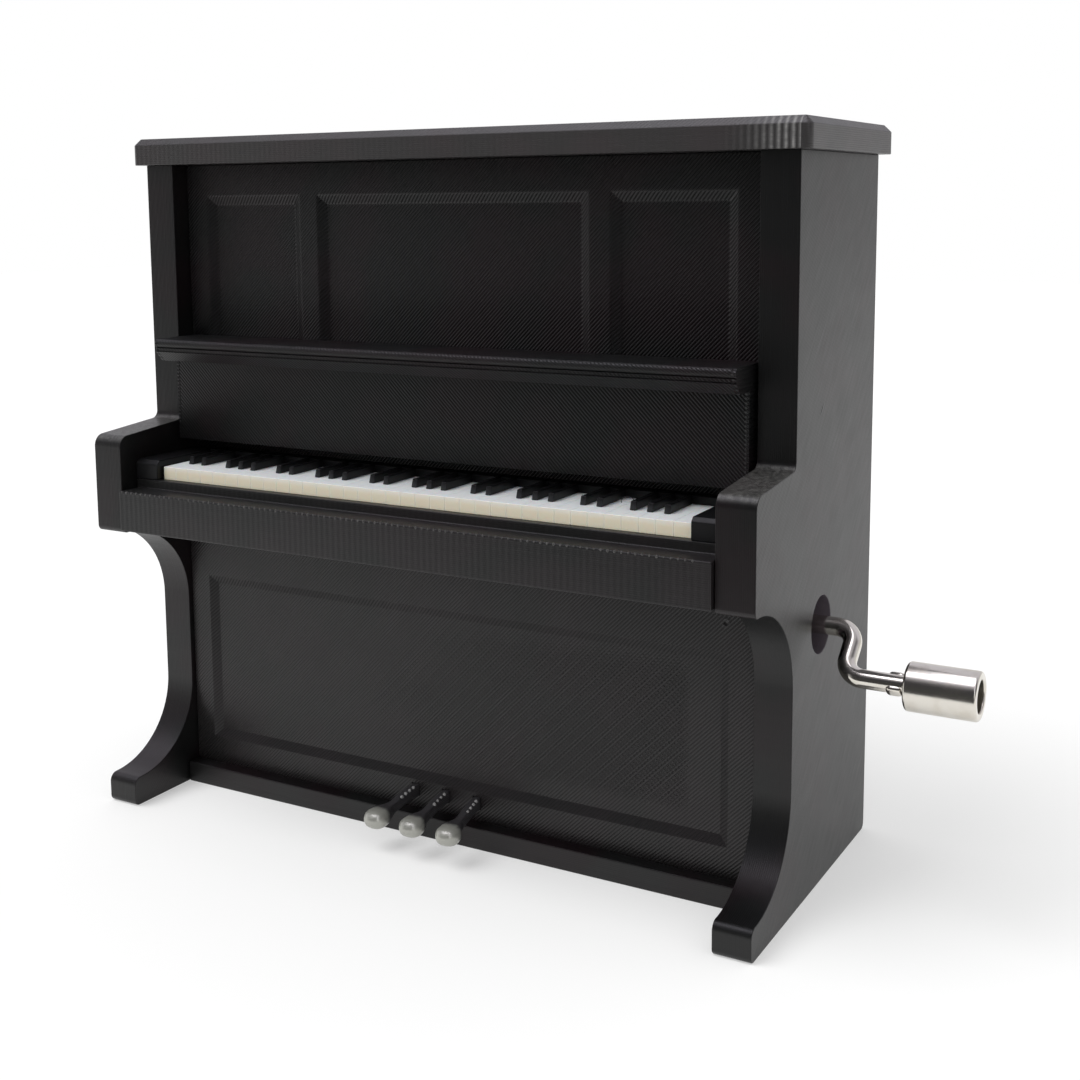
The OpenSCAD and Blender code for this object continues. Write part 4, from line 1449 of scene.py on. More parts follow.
@dataclass
class Keyboard:
    """The white and black keys.

    Attributes:
        white_count: Number of white keys.
        octave: Number of white keys in an octave.
        bare: White keys of an octave that no black key follows, counted from 1 with the last as 0.
        groove: Width of the rounded edges at the joint between two white keys.
        play: Half of the gap that keeps two white keys closed shapes of their own.
        black_w: Width of a black key.
        slope: How far the top of a black key's front lies behind its foot.
        bar_depth: Depth of the bar that joins the black keys at the back.
        rounding: Rounding of a black key's edges.
        hair_at: Place of the stray hair, in white keys from the left end.
        hair_r: Radius of its arch.
        hair_d: Its thickness.
    """

    white_count: int = 36
    octave: int = 7
    bare: tuple[int, ...] = (0, 3)
    groove: float = 0.07
    play: float = 0.002
    black_w: float = 0.85
    slope: float = 0.4
    bar_depth: float = 2.15
    rounding: float = 0.12
    hair_at: float = 31.65
    hair_r: float = 0.8
    hair_d: float = 0.1

    def __post_init__(self) -> None:
        """Reads the places of both rows from the frame."""
        self.low, self.high = corners("white_keys")
        self.black_low, self.black_high = corners("black_keys")
        self.pitch = (self.high.x - self.low.x) / self.white_count

    def build(self) -> None:
        """Grows both rows of keys and the hair."""
        white = WhitePrint(self.pitch).build()
        settle(self.whites(white), Body.CASE, ["white_keys"], white)
        # The black keys' front tips carry the painted highlight of GlossyBlack.
        black = GlossyBlack("black_keys_print", self.black_low.y).build()
        settle(self.blacks(black), Body.CASE, ["black_keys"], black)
        settle(self.hair(black), Body.CASE, [], black)

    def row(
        self,
        name: str,
        finish: bpy.types.Material,
        recipe: Recipe,
        count: int,
        first: float,
        **shapes: bpy.types.Object,
    ) -> bpy.types.Object:
        """Grows a row of keys and removes the shapes that it was grown from.

        Args:
            name: Name of the piece.
            finish: Its material.
            recipe: The recipe of the row.
            count: Number of places in it.
            first: The first place along X.
            shapes: The recipe's shapes.

        Returns:
            The row.
        """
        start, step = Vector((first * MM, 0, 0)), Vector((self.pitch * MM, 0, 0))
        made = recipe.grow(name, finish, Count=count, Start=start, Step=step, **shapes)
        for shape in shapes.values():
            bpy.data.objects.remove(shape)
        return made

    def whites(self, finish: bpy.types.Material) -> bpy.types.Object:
        """Grows the row of white keys, which all but touch below their rounded edges.

        Args:
            finish: Its material.

        Returns:
            The row.
        """
        left, right = self.play, self.pitch - self.play
        block = brick((left, self.low.y, self.low.z), (right, self.high.y, self.high.z))
        key = softened("white_key", block, self.groove)
        recipe = Recipe("row_of_white_keys")
        recipe.close(recipe.copies(recipe.line(), recipe.shape("Key")))
        return self.row("white_keys_printed", finish, recipe, self.white_count, self.low.x, Key=key)

    def blacks(self, finish: bpy.types.Material) -> bpy.types.Object:
        """Grows the black keys, one after every white key but the bare ones, and their bar.

        Args:
            finish: Its material.

        Returns:
            The row.
        """
        low, high = self.black_low, self.black_high
        half = self.black_w / 2
        block = self.sloped_key((-half, low.y, low.z), (half, high.y, high.z))
        key = softened("black_key", block, self.rounding, segments=3)
        back = brick((low.x, high.y - self.bar_depth, low.z), tuple(high))
        bar = softened("black_bar", back, self.rounding)
        recipe = Recipe("row_of_black_keys")
        place = recipe.math("MODULO", recipe.node("GeometryNodeInputIndex") + 1, self.octave)
        bare = sum(recipe.math("COMPARE", place, skipped, 0.5) for skipped in self.bare)
        keys = recipe.copies(recipe.line(), recipe.shape("Key"), Selection=1 - bare)
        both = [keys, recipe.shape("Bar")]
        recipe.close(recipe.node("GeometryNodeJoinGeometry", inputs={"Geometry": both}))
        count, first = self.white_count - 1, low.x + self.pitch
        return self.row("black_keys_printed", finish, recipe, count, first, Key=key, Bar=bar)

    def sloped_key(self, low: Point, high: Point) -> bmesh.types.BMesh:
        """Makes a long key whose front slopes back to its top.

        Args:
            low: Its lowest corner.
            high: Its highest corner.

        Returns:
            The key.
        """
        made = brick(low, high)
        for vert in made.verts:
            if vert.co.z > (low[2] + high[2]) / 2 * MM and vert.co.y < 0:
                vert.co.y += self.slope * MM
        return made

    def hair(self, finish: bpy.types.Material) -> bpy.types.Object:
        """Grows the fine hair of plastic that arches between two keys near the right end.

        Args:
            finish: Its material.

        Returns:
            The hair.
        """
        low, high = self.black_low, self.black_high
        behind, below, slant, squash = 0.4, 0.1, 0.3, 0.8
        middle = Vector((low.x + self.hair_at * self.pitch, low.y + behind, high.z - below))
        arch = arc((0.0, 0.0), self.hair_r, 200, -20, 12)
        points = [tuple(middle + Vector((x, slant * x, squash * z))) for x, z in arch]
        return wire_recipe().grow(
            "stray_hair", finish, polyline(points), Radius=self.hair_d / 2 * MM, Bend=0.0, Sides=8
        )


def polyline(points: Sequence[Point]) -> bpy.types.Mesh:
    """Makes an open line.

    Args:
        points: Its points in millimetres.

    Returns:
        A mesh of the line.
    """
    made = bpy.data.meshes.new("line")
    edges = [(i, i + 1) for i in range(len(points) - 1)]
    made.from_pydata([tuple(c * MM for c in p) for p in points], edges, [])
    return made


def wire_recipe(steps: int = 20) -> Recipe:
    """Plans a wire: a line that is bent at its corners and given a round section.

    Args:
        steps: Points along each bend.

    Returns:
        The recipe, with inputs named Bend, Sides and Radius.
    """
    recipe = Recipe("bent_wire")
    path = recipe.node("GeometryNodeMeshToCurve", inputs={"Mesh": recipe.start})
    bent = recipe.node(
        "GeometryNodeFilletCurve",
        {"mode": "POLY"},
        {"Curve": path, "Radius": recipe.value("Bend"), "Count": steps},
    )
    ring = recipe.node(
        "GeometryNodeCurvePrimitiveCircle",
        inputs={"Resolution": recipe.value("Sides", "Int"), "Radius": recipe.value("Radius")},
    )
    recipe.close(
        recipe.node(
            "GeometryNodeCurveToMesh", inputs={"Curve": bent, "Profile Curve": ring, "Fill Caps": True}
        )
    )
    return recipe


@dataclass
class Pedals:
    """The three pedals, each a boxy stem that swells into a round toe.

    Attributes:
        root_y: Place of the lower front panel's face, where the pedals come out.
        pitch: Distance between two pedals there.
        fan: Angle by which the outer pedals turn outwards, in degrees.
        stem_w: Width of a stem.
        stem_h: Height of a stem at its root.
        stem_z: Height of its underside there.
        waist: Height that a stem loses before it swells.
        neck_y: Distance from the root to the start of the swelling.
        toe_y: Distance from the root to the middle of the toe.
        toe: Half the width, the length and the height of a toe.
        toe_z: Height of the middle of a toe.
        slices: Cross sections along the neck, and again round the tip.
        sides: Corners of a cross section.
        drop_y: Distance from the root to the first printed drop on a stem.
        drop_pitch: Distance between two drops.
        drop_r: Radius of a drop.
        drop_sizes: Least and greatest size of a drop, as a share of that radius.
        drops: Number of drops on a stem.
        seed: Seed of the drops' sizes.
        squareness: How square a cross section is at the stem and at the toe, where 2 is an oval.
    """

    root_y: float = 0.8
    pitch: float = 5.4
    fan: float = 5.0
    stem_w: float = 1.2
    stem_h: float = 1.85
    stem_z: float = 5.05
    waist: float = 0.3
    neck_y: float = 5.4
    toe_y: float = 9.35
    toe: Point = (1.82, 1.75, 1.4)
    toe_z: float = 4.72
    slices: int = 18
    sides: int = 32
    drop_y: float = 1.2
    drop_pitch: float = 0.92
    drop_r: float = 0.24
    drop_sizes: Flat = (0.8, 1.15)
    drops: int = 4
    seed: int = 3
    squareness: Flat = (7.0, 2.4)

    def build(self) -> None:
        """Makes the pedals and the drops on their stems, which are painted pale as glints."""
        paint = ToePaint().build()
        seats = []
        for place, node in enumerate(("pedal_left", "pedal_centre", "pedal_right"), start=-1):
            root = Matrix.Translation((place * self.pitch, self.root_y, 0))
            root = root @ Matrix.Rotation(math.radians(place * self.fan), 4, "Z")
            tail = corners(node)[1].y - self.root_y
            piece = linked(f"{node}_painted", plain_mesh(self.loft(root, tail)))
            settle(piece, Body.CASE, [node], paint)
            seats += [root @ Vector(seat) * MM for seat in self.seats()]
        # The drops on the stems are painted pale grey: painted glints on the steps of the print.
        painted_glint = BlackPrint("stem_drops_print", tone=(0.30, 0.30, 0.30), warm=(0.26, 0.25, 0.25)).build()
        points = bpy.data.meshes.new("drop_seats")
        points.from_pydata(seats, [], [])
        recipe = Recipe("drops_on_points")
        recipe.close(recipe.balls(recipe.start, self.drop_sizes))
        radius = self.drop_r * MM
        drops = recipe.grow("pedal_stem_drops", painted_glint, mesh=points, Radius=radius, Seed=self.seed)
        settle(drops, Body.CASE, [], painted_glint)

    def seats(self) -> list[Point]:
        """Places the drops along a stem's upper right edge.

        Returns:
            Their places, from the pedal's root.
        """
        inset, sunk = 0.1, 0.02
        places = []
        for i in range(self.drops):
            reach = self.drop_y + i * self.drop_pitch
            half_w, half_h, middle, _ = self.section(reach / self.toe_y)
            places.append((half_w - inset, -reach, middle + half_h - sunk))
        return places

    def section(self, share: float) -> tuple[float, float, float, float]:
        """Describes a cross section of the neck.

        Args:
            share: Share of the way from the root to the middle of the toe.

        Returns:
            Half the width, half the height, the height of the middle and the squareness.
        """
        before = self.neck_y / self.toe_y
        late = max(0.0, (share - before) / (1 - before))
        swell = late * late * (3 - 2 * late)
        sink = share * share * (3 - 2 * share)
        stem = self.stem_h / 2 - self.waist / 2 * min(1.0, share / before)
        half_w = self.stem_w / 2 + (self.toe[0] - self.stem_w / 2) * swell
        half_h = stem + (self.toe[2] - stem) * swell
        top = self.stem_z + self.stem_h / 2
        boxy, oval = self.squareness
        return half_w, half_h, top + (self.toe_z - top) * sink, boxy + (oval - boxy) * swell

    def loft(self, root: Matrix, tail: float) -> bmesh.types.BMesh:
        """Lofts a pedal from its tail behind the panel to the tip of its toe.

        Args:
            root: Where the pedal comes out of the panel.
            tail: Length of its tail.

        Returns:
            The pedal.
        """
        rows = [(tail, *self.section(0.0))]
        for i in range(self.slices + 1):
            share = i / self.slices
            rows.append((-self.toe_y * share, *self.section(share)))
        half_w, half_h, middle, square = self.section(1.0)
        for i in range(1, self.slices):
            turn = math.pi / 2 * i / self.slices
            row = (half_w * math.cos(turn), half_h * math.cos(turn), middle, square)
            rows.append((-self.toe_y - self.toe[1] * math.sin(turn), *row))
        made = bmesh.new()
        rings = [[made.verts.new(corner) for corner in self.ring(*row)] for row in rows]
        for ring, following in zip(rings, rings[1:]):
            for i in range(self.sides):
                j = (i + 1) % self.sides
                made.faces.new((ring[i], ring[j], following[j], following[i]))
        made.faces.new(rings[0])
        tip = made.verts.new((0, -self.toe_y - self.toe[1], middle))
        for i in range(self.sides):
            made.faces.new((rings[-1][i], rings[-1][(i + 1) % self.sides], tip))
        bmesh.ops.transform(made, matrix=Matrix.Scale(MM, 4) @ root, verts=made.verts)
        return made

    def ring(self, y: float, half_w: float, half_h: float, middle: float, square: float) -> list[Point]:
        """Draws a cross section between an oval and a box.

        Args:
            y: Its place along the pedal.
            half_w: Half its width.
            half_h: Half its height.
            middle: Height of its middle.
            square: How square it is.

        Returns:
            Its corners.
        """
        places = []
        for i in range(self.sides):
            turn = math.tau * i / self.sides
            c, s = math.cos(turn), math.sin(turn)
            x = half_w * math.copysign(abs(c) ** (2 / square), c)
            z = half_h * math.copysign(abs(s) ** (2 / square), s)
            places.append((x, y, middle + z))
        return places


@dataclass
class Crank:
    """The bent wire of the crank, its crimps and the knob.

    Attributes:
        wire_d: Diameter of the wire.
        bend_r: Radius of its bends.
        crimp_l: Length of the crimped stretch.
        crimp_proud: How far a crimp stands out from the middle of the wire.
        crimp_t: Thickness of a crimp.
        crimp_gap: Gap between the crimps and the knob.
        head_d: Diameter of the riveted head.
        head_t: Thickness of that head.
        web: Thickness of the knob's inner end.
        hollow_d: Diameter of the hollow in the knob's outer end.
        rim: Radius of the knob's rims.
        lip: Radius of the hollow's edge.
        edge: Rounding of the knob's other edges.
        bore_gap: Radial gap between the knob and the wire.
        wire_sides: Faces round the wire and its head.
        knob_sides: Faces round the knob.
    """

    wire_d: float = 2.5
    bend_r: float = 2.6
    crimp_l: float = 2.2
    crimp_proud: float = 1.5
    crimp_t: float = 1.7
    crimp_gap: float = 0.4
    head_d: float = 3.4
    head_t: float = 0.9
    web: float = 3.2
    hollow_d: float = 4.2
    rim: float = 0.4
    lip: float = 0.2
    edge: float = 0.08
    bore_gap: float = 0.05
    wire_sides: int = 48
    knob_sides: int = 96

    def __post_init__(self) -> None:
        """Reads the two axes and the places of the wire and the knob from the frame."""
        self.axis = pivot("crank_spin")
        self.handle = pivot("knob_spin")
        self.knob_low, self.knob_high = corners("crank_knob")
        self.start_x = corners("crank_wire")[0].x
        self.end_x = corners("crank_wire")[1].x
        self.arm = self.handle - self.axis
        self.arm.x = 0.0

    def build(self) -> None:
        """Makes the wire and the knob."""
        plate = Metal(
            "nickel_plate",
            tone=(0.72, 0.69, 0.63),
            dull=(0.66, 0.62, 0.55),
            roughness=0.13,
            dullness=0.08,
            lines=Axis.X,
            line_depth=0.0006,
            grain_depth=0.003,
        )
        nickel = plate.build()
        settle(self.wire(nickel), Body.CRANK, ["crank_wire"], nickel)
        satin = replace(plate, name="nickel_knob", roughness=0.19).build()
        settle(self.knob(), Body.KNOB, ["crank_knob"], satin)

    def wire(self, finish: bpy.types.Material) -> bpy.types.Object:
        """Makes the bent wire with its crimps and riveted head.

        Args:
            finish: Its material.

        Returns:
            The wire.
        """
        along = [
            (self.start_x, self.axis.y, self.axis.z),
            (self.axis.x, self.axis.y, self.axis.z),
            (self.axis.x, self.handle.y, self.handle.z),
            (self.end_x - self.head_t / 2, self.handle.y, self.handle.z),
        ]
        bent = wire_recipe().grow(
            "bent",
            finish,
            mesh=polyline(along),
            Radius=self.wire_d / 2 * MM,
            Bend=self.bend_r * MM,
            Sides=self.wire_sides,
        )
        made = bmesh.new()
        made.from_mesh(bent.data)
        bpy.data.objects.remove(bent)
        for side in (-1, 1):
            self.add(made, self.crimp(side))
        self.add(made, self.head())
        return linked("crank_wire_bent", plain_mesh(made))

    @staticmethod
    def add(made: bmesh.types.BMesh, part: bmesh.types.BMesh) -> None:
        """Adds one part to a mesh under construction.

        Args:
            made: The mesh.
            part: The part, which is used up.
        """
        loose = bpy.data.meshes.new("part")
        part.to_mesh(loose)
        part.free()
        made.from_mesh(loose)

    def crimp(self, side: int, power: float = 0.55) -> bmesh.types.BMesh:
        """Pinches a fin out of the wire.

        Args:
            side: 1 for the side that points away from the crank's axis, and -1 for the other.
            power: How boxy the fin is, from 1 for a ball towards 0.

        Returns:
            The fin.
        """
        made = bmesh.new()
        bmesh.ops.create_uvsphere(made, u_segments=32, v_segments=16, radius=1.0)
        size = Vector((self.crimp_l / 2, self.crimp_proud / 2, self.crimp_t / 2))
        for vert in made.verts:
            boxed = [math.copysign(abs(c) ** power, c) for c in vert.co]
            vert.co = Vector(c * s for c, s in zip(boxed, size))
        outward = self.arm.normalized() * side
        upright = Vector((1, 0, 0)).cross(outward)
        turn = Matrix((Vector((1, 0, 0)), outward, upright)).transposed().to_4x4()
        middle = Vector(
            (self.knob_low.x - self.crimp_gap - self.crimp_l / 2, self.handle.y, self.handle.z)
        ) + outward * (self.crimp_proud / 2)
        bmesh.ops.transform(
            made, matrix=Matrix.Translation(middle * MM) @ turn @ Matrix.Scale(MM, 4), verts=made.verts
        )
        return made

    def head(self) -> bmesh.types.BMesh:
        """Turns the riveted head inside the knob's hollow.

        Returns:
            The head.
        """
        r, t = self.head_d / 2, self.head_t
        edge, taper = 0.3, 0.1
        rounded = arc((r - edge, t - edge), edge, 0, 90, 4)
        made = lathe([(0, 0), (r - taper, 0), *rounded, (0, t)], self.wire_sides)
        self.lay_along_x(made, self.end_x - t)
        return made

    def knob(self) -> bpy.types.Object:
        """Turns the knob.

        Returns:
            The knob.
        """
        r = (self.knob_high.y - self.knob_low.y) / 2
        length = self.knob_high.x - self.knob_low.x
        hollow, bore = self.hollow_d / 2, self.wire_d / 2 + self.bore_gap
        rim, lip = self.rim, self.lip
        profile = [
            (bore, 0.0),
            *arc((r - rim, rim), rim, -90, 0, 8),
            *arc((r - rim, length - rim), rim, 0, 90, 8),
            *arc((hollow + lip, length - lip), lip, 90, 180, 5),
            (hollow, self.web),
            (bore, self.web),
            (bore, 0.0),
        ]
        made = lathe(profile, self.knob_sides)
        self.lay_along_x(made, self.knob_low.x)
        return softened("knob_turned", made, self.edge)

    def lay_along_x(self, made: bmesh.types.BMesh, x: float) -> None:
        """Turns a shape from the Z axis onto the handle's axis.

        Args:
            made: The shape.
            x: Where it starts.
        """
        place = Matrix.Translation(Vector((x, self.handle.y, self.handle.z)) * MM)
        bmesh.ops.transform(made, matrix=place @ Matrix.Rotation(math.pi / 2, 4, "Y"), verts=made.verts)


@dataclass
class Screws:
    """One set of pan head screws with cross recesses.

    Attributes:
        node: The solids that they stand for.
        name: Name of the piece.
        diameter: Diameter of the shank.
        axis: Direction that the heads point in.
        head_h: Height of a head.
        thread: Pitch of the thread.
        sides: Faces round a screw, a number that puts no edge through a corner of the recess.
        sharp: Angle in degrees from which an edge stays sharp.
    """

    node: str
    name: str
    diameter: float
    axis: Axis = Axis.Y
    head_h: float = 1.0
    thread: float = 0.6
    sides: int = 36
    sharp: float = 35

    def build(self, finish: bpy.types.Material) -> None:
        """Grows one screw in each seat.

        Args:
            finish: Their material.
        """
        which = 1 if self.axis is Axis.Y else 2
        boxes = islands(self.node)
        seats = []
        for low, high in boxes:
            seat = (low + high) / 2
            seat[which] = high[which] - self.head_h
            seats.append(tuple(seat * MM))
        length = boxes[0][1][which] - boxes[0][0][which] - self.head_h
        points = bpy.data.meshes.new("seats")
        points.from_pydata(seats, [], [])
        screw = self.screw(length)
        recipe = Recipe(f"set_of_{self.name}")
        turned = recipe.value("Turn", "Vector")
        recipe.close(recipe.copies(recipe.start, recipe.shape("Screw"), Rotation=turned))
        turn = Vector((-math.pi / 2, 0, 0)) if self.axis is Axis.Y else Vector((0, 0, 0))
        piece = recipe.grow(self.name, finish, mesh=points, Screw=screw, Turn=turn)
        bpy.data.objects.remove(screw)
        settle(piece, Body.CASE, [self.node], finish)

    def screw(self, length: float) -> bpy.types.Object:
        """Turns one screw and cuts its recess.

        Args:
            length: Length of its shank.

        Returns:
            The screw, with its head at the origin and its shank pointing down.
        """
        r, d = self.diameter / 2, self.diameter
        core, neck, tip = r * 0.8, r * 0.9, 0.3
        thread = []
        for i in range(int(length / self.thread)):
            z = -length + tip + i * self.thread
            thread += [(core, z), (r, z + self.thread / 2)]
        # The head has a steep brim that is rounded over into a flat top.
        profile = [
            (0.0, -length),
            *thread,
            (neck, 0.0),
            (d * 0.96, 0.0),
            *arc((d * 0.72, self.head_h * 0.3), d * 0.26, 0, 70, 5),
            (d * 0.4, self.head_h),
            (0.0, self.head_h),
        ]
        head = linked("screw", plain_mesh(lathe(profile, self.sides)))
        cutter = linked("recess", plain_mesh(self.recess()))
        # The cut is made in millimetres, because it leaves slivers on a shape of a few thousandths.
        for part in (head, cutter):
            part.data.transform(Matrix.Scale(1 / MM, 4))
        cut = head.modifiers.new("recess", "BOOLEAN")
        cut.operation = "DIFFERENCE"
        cut.object = cutter
        made = flattened(head)
        for helper in (head, cutter):
            bpy.data.objects.remove(helper)
        made.transform(Matrix.Scale(MM, 4))
        made.set_sharp_from_angle(angle=math.radians(self.sharp))
        return linked("screw", made)

    def recess(self) -> bmesh.types.BMesh:
        """Makes the cutter of the cross recess.

        Returns:
            A cross raised to a prism.
        """
        long, thin = self.diameter / 2, self.diameter / 8
        floor, ceiling = self.head_h * 0.45, self.head_h * 1.5
        arm = [(long, -thin), (long, thin), (thin, thin)]
        outline = list(arm)
        for _ in range(3):
            arm = [(-y, x) for x, y in arm]
            outline += arm
        made = bmesh.new()
        foot = made.faces.new([made.verts.new((x * MM, y * MM, floor * MM)) for x, y in outline])
        raised = bmesh.ops.extrude_face_region(made, geom=[foot])["geom"]
        upper = [part for part in raised if isinstance(part, bmesh.types.BMVert)]
        bmesh.ops.translate(made, verts=upper, vec=(0, 0, (ceiling - floor) * MM))
        return made


@dataclass
class Movement:
    """The music box inside the case: its solids keep their shapes and get their metals.

    Attributes:
        back_screw_d: Diameter of the back cover's screws.
        bed_screw_d: Diameter of the screws that hold the movement's frame.
        comb_screw_d: Diameter of the comb's screws.
        bracket_screw_d: Diameter of the arbor bracket's screws.
    """

    back_screw_d: float = 1.8
    bed_screw_d: float = 1.9
    comb_screw_d: float = 1.9
    bracket_screw_d: float = 1.6

    def build(self) -> None:
        """Paints the solids and grows their screws."""
        zinc = Metal(
            "cast_zinc", (0.45, 0.46, 0.47), (0.34, 0.35, 0.36), 0.38, dullness=0.2, grain_depth=0.02
        ).build()
        ground = {"lines": Axis.X, "line_depth": 0.004}
        steel = Metal(
            "ground_comb_steel", (0.56, 0.57, 0.58), (0.42, 0.43, 0.44), 0.24, **ground
        ).build()
        drawn = {"lines": Axis.Z, "line_depth": 0.002}
        arbor = Metal("drawn_arbor_steel", (0.6, 0.6, 0.6), (0.5, 0.5, 0.5), 0.2, **drawn).build()
        turned = {"lines": Axis.Z, "line_depth": 0.003}
        brass = Metal("turned_brass", (0.74, 0.54, 0.24), (0.6, 0.42, 0.18), 0.2, **turned).build()
        worn = {"dullness": 0.16, "grain_depth": 0.006}
        plated = Metal(
            "zinc_plated_screw", (0.58, 0.59, 0.61), (0.44, 0.45, 0.46), 0.22, **worn
        ).build()
        nylon = Nylon().build()
        for node, finish, slot in (
            ("movement_frame", zinc, Slot.ZINC),
            ("arbor_bracket", zinc, Slot.ZINC),
            ("worm", zinc, Slot.ZINC),
            ("comb", steel, Slot.COMB),
            ("cylinder_arbor", arbor, Slot.SCREW),
            ("pin_cylinder", brass, Slot.BRASS),
            ("cylinder_plug", brass, Slot.BRASS),
            ("cylinder_gear", nylon, Slot.NYLON),
        ):
            self.paint(node, finish, slot)
        for screws in (
            Screws("back_screws", "back_cover_screws", self.back_screw_d),
            Screws("movement_screws", "bedplate_screws", self.bed_screw_d),
            Screws("comb_screws", "comb_fixing_screws", self.comb_screw_d),
            Screws("bracket_screws", "bracket_fixing_screws", self.bracket_screw_d, Axis.Z),
        ):
            screws.build(plated)

    @staticmethod
    def paint(node: str, finish: bpy.types.Material, slot: Slot) -> None:
        """Gives a solid its finish and leaves its shape as it is.

        Args:
            node: The solid.
            finish: Its material.
            slot: The record's slot for it; not used.
        """
        solid = frame["nodes"][node]
        solid.data.materials.clear()
        solid.data.materials.append(finish)
        log.info("%s: solid keeps its shape, painted %s", node, finish.name)


# ---------------------------------------------------------------- studio


def staged(made: bpy.types.Object) -> bpy.types.Object:
    """Puts a camera or a light into the scene."""
    bpy.context.scene.collection.objects.link(made)
    return made


@dataclass
class Camera:
    """The camera in front of the piano and to its right.

    Attributes:
        picture: Side of the square picture in pixels.
        focal: Focal length in pixels.
        axis_at: Where the optical axis meets the picture, in pixels from its upper left corner.
        eye: Place of the camera.
        yaw: Turn of the camera from the Y axis to the left, in degrees.
        pitch: Its tilt above the horizon.
        roll: Its roll.
        sensor: Width of the sensor.
    """

    picture: float = 1080.0
    focal: float = 1488.1
    axis_at: Flat = (518.3, 401.1)
    eye: Point = (115.6, -178.4, 94.3)
    yaw: float = 29.772
    pitch: float = -7.68
    roll: float = -0.515
    sensor: float = 36.0

    def build(self) -> None:
        """Makes the camera and looks through it."""
        data = bpy.data.cameras.new("camera")
        data.sensor_width = self.sensor
        data.lens = self.focal * self.sensor / self.picture
        data.shift_x = 0.5 - self.axis_at[0] / self.picture
        data.shift_y = self.axis_at[1] / self.picture - 0.5
        data.clip_start, data.clip_end = 0.01, 10.0
        yaw, pitch, roll = (math.radians(a) for a in (self.yaw, self.pitch, self.roll))
        ahead = Vector(
            (-math.sin(yaw) * math.cos(pitch), math.cos(yaw) * math.cos(pitch), math.sin(pitch))
        )
        level = Vector((math.cos(yaw), math.sin(yaw), 0))
        up = level.cross(ahead)
        right = math.cos(roll) * level + math.sin(roll) * up
        up = math.cos(roll) * up - math.sin(roll) * level
        made = staged(bpy.data.objects.new("camera", data))
        place = Matrix((right, up, -ahead)).transposed().to_4x4()
        made.matrix_world = Matrix.Translation(Vector(self.eye) * MM) @ place
        bpy.context.scene.camera = made


@dataclass
class Key:
    """The soft key light above and to the left, which stays out of reflections.

    Attributes:
        light: Light that it throws on a level surface, where pi is the light of a white sky.
        aim: Direction that it shines in.
        spread: Angle that it fills, in degrees.
    """

    light: float = 1.4
    aim: Point = (0.5, 0.42, -1.0)
    spread: float = 40.0

    def build(self) -> None:
        """Hangs the light."""
        data = bpy.data.lights.new("key", "SUN")
        data.energy = self.light
        data.angle = math.radians(self.spread)
        made = staged(bpy.data.objects.new("key", data))
        made.rotation_euler = Vector(self.aim).to_track_quat("-Z", "Y").to_euler()
        made.visible_glossy = False


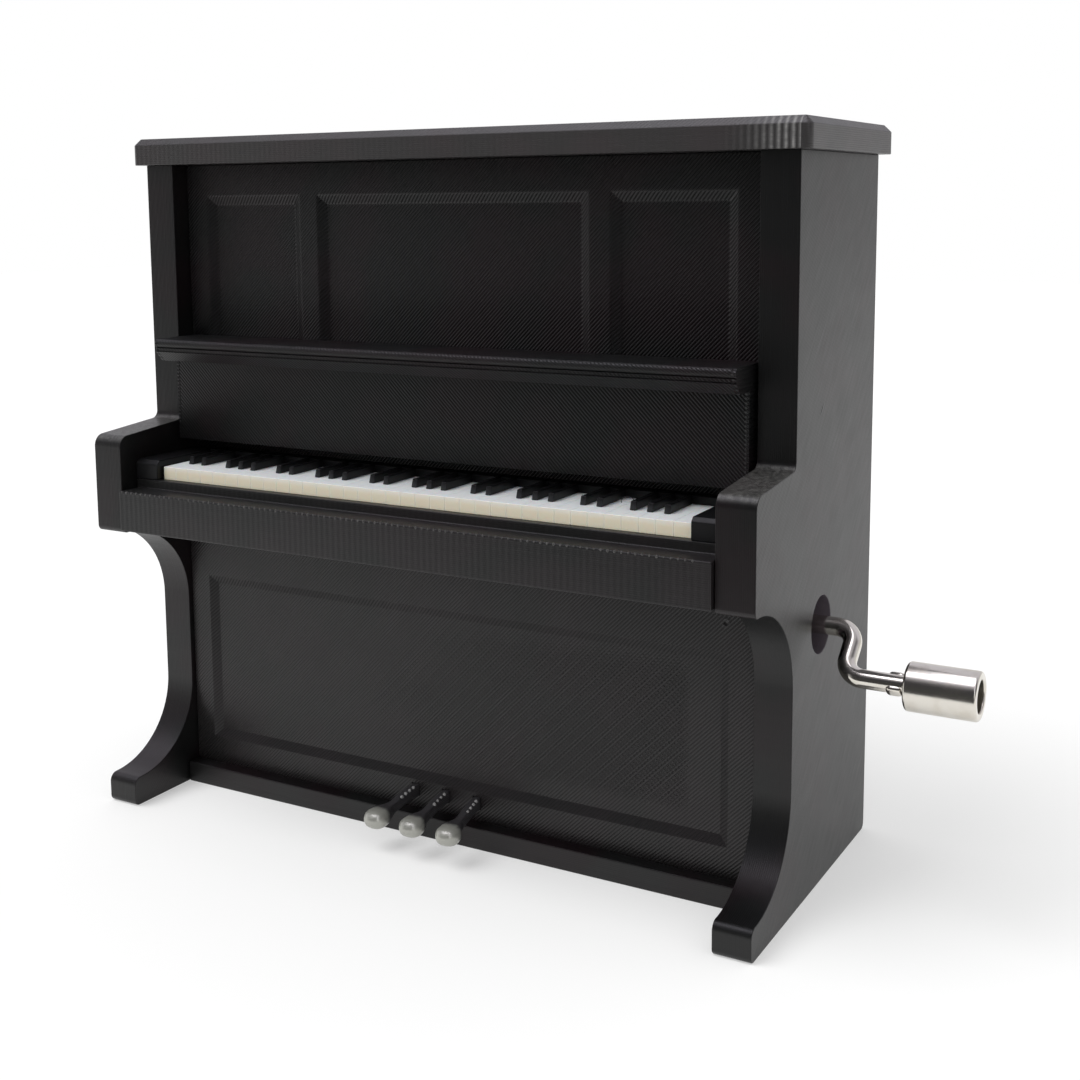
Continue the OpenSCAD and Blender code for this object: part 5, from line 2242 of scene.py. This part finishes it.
@dataclass
class Sky:
    """The world: plain white to look at, a room to reflect and a soft dome for light.

    A light of the room is given by its brightness, and a pane by its direction as well and by the
    cosines between which it fades in.

    Attributes:
        dome: Brightness of the dome.
        ceiling: Brightness of the room's ceiling.
        back: Brightness of its wall behind the piano.
        left: Brightness of its wall to the left.
        lamp: Brightness of the lamp overhead.
        lamp_at: Direction of the lamp.
        lamp_edge: Cosines of its edge.
        window: Brightness of the window to the right.
        window_at: Direction of the window.
        window_edge: Cosines of its edge.
        tall: Brightness of the tall strip to the right of the camera.
        tall_at: Direction of the strip.
        tall_side: Direction across the strip.
        glow: Light that fills the room but for its right end.
        gloom: Light that fills all of it.
        tint: Colour of the room's upper half.
    """

    dome: float = 0.75
    ceiling: float = 0.55
    back: float = 0.7
    left: float = 0.85
    lamp: float = 3.2
    lamp_at: Point = (-0.22, -0.12, 0.97)
    lamp_edge: Flat = (0.9, 0.97)
    window: float = 0.5
    window_at: Point = (0.87, -0.44, 0.22)
    window_edge: Flat = (0.96, 0.985)
    tall: float = 2.6
    tall_at: Point = (0.72, -0.69, 0.0)
    tall_side: Point = (0.69, 0.72, 0.0)
    glow: float = 0.05
    gloom: float = 0.005
    tint: Colour = (0.93, 0.91, 1.0)

    def build(self) -> None:
        """Builds the world."""
        world = bpy.data.worlds.new("studio")
        world.use_nodes = True
        bpy.context.scene.world = world
        tree = Tree(world.node_tree)
        way = tree.node("ShaderNodeTexCoord", output="Generated")
        axis = tree.node("ShaderNodeSeparateXYZ", inputs={0: way})
        paths = tree.node("ShaderNodeLightPath", output="Is Camera Ray")
        seen = paths["Is Camera Ray"]
        mirrored = tree.math("MAXIMUM", paths["Is Glossy Ray"], paths["Is Transmission Ray"])
        light = mirrored * self.room(tree, way, axis) + (1 - mirrored) * self.dome
        cool = tree.step(axis["Z"], 0.1, 0.5) * mirrored
        tint = tree.mix(cool, (1.0, 1.0, 1.0), self.tint)
        strength = seen + (1 - seen) * light
        shade = tree.node("ShaderNodeBackground", inputs={"Color": tint, "Strength": strength})
        tree.node("ShaderNodeOutputWorld", inputs={"Surface": shade})

    def room(self, tree: Tree, way: Wire, axis: Wire) -> Wire:
        """Works out the room that is seen in reflections.

        Args:
            tree: The world's tree.
            way: The direction that is looked in.
            axis: Its three components.

        Returns:
            The brightness there, which is that of the brightest light and a faint glow.
        """
        ahead, aside = (tree.vector("DOT_PRODUCT", way, at) for at in (self.tall_at, self.tall_side))
        strip = tree.step(abs(aside), 0.12, 0.05) * tree.step(ahead, 0.0, 0.3)
        lights = (
            tree.step(axis["Z"], 0.55, 0.95) * self.ceiling,
            tree.step(axis["Y"], 0.0, 0.5) * self.back,
            tree.step(axis["X"], -0.55, -0.95) * self.left,
            tree.step(tree.vector("DOT_PRODUCT", way, self.lamp_at), *self.lamp_edge) * self.lamp,
            tree.step(tree.vector("DOT_PRODUCT", way, self.window_at), *self.window_edge) * self.window,
            strip * tree.step(axis["Z"], -0.05, 0.1) * self.tall,
        )
        brightest = lights[0]
        for light in lights[1:]:
            brightest = tree.math("MAXIMUM", brightest, light)
        return brightest + (1 - tree.step(axis["X"], 0.2, 0.7)) * self.glow + self.gloom


@dataclass
class Floor:
    """The pale floor, which ends a little way in front of the piano.

    Attributes:
        near: Places of its front edge in metres, from left to right.
        back: Place of its back edge in metres.
        tone: Its grey.
        pale: Share of plain white where it is looked at.
        white: Brightness of that white.
    """

    near: tuple[Flat, ...] = ((-1.5, -0.45), (-0.3, -0.3), (-0.02, -0.13), (0.12, -0.09), (1.5, -0.09))
    back: float = 1.5
    tone: float = 0.95
    pale: float = 0.3
    white: float = 1.18

    def build(self) -> None:
        """Lays the floor."""
        made = bpy.data.meshes.new("floor")
        outline = [*self.near, (self.near[-1][0], self.back), (self.near[0][0], self.back)]
        made.from_pydata([(x, y, 0.0) for x, y in outline], [], [tuple(range(len(outline)))])
        piece = linked("floor", made)
        surface = Surface("pale_floor")
        paths = surface.node("ShaderNodeLightPath", output="Is Camera Ray")
        looked_at = surface.math("MAXIMUM", paths, paths["Is Glossy Ray"])
        matt = surface.node("ShaderNodeBsdfDiffuse", inputs={"Color": (self.tone,) * 3})
        plain = {"Color": (1.0, 1.0, 1.0), "Strength": self.white}
        white = surface.node("ShaderNodeEmission", inputs=plain)
        both = surface.node(
            "ShaderNodeMixShader", inputs={0: looked_at * self.pale, 1: matt, 2: white}
        )
        surface.node("ShaderNodeOutputMaterial", inputs={"Surface": both})
        made.materials.append(surface.material)


def main() -> None:
    """Builds the studio and every sub-assembly in order."""
    logging.basicConfig(level=logging.INFO, format="%(name)s: %(message)s")
    bpy.context.scene.view_settings.view_transform = "Standard"
    for kind in (Camera, Key, Sky, Floor, Carcass, Fallboard, Keybed, Keyboard, Pedals, Crank, Movement):
        kind().build()


if __name__ == "__main__":
    main()
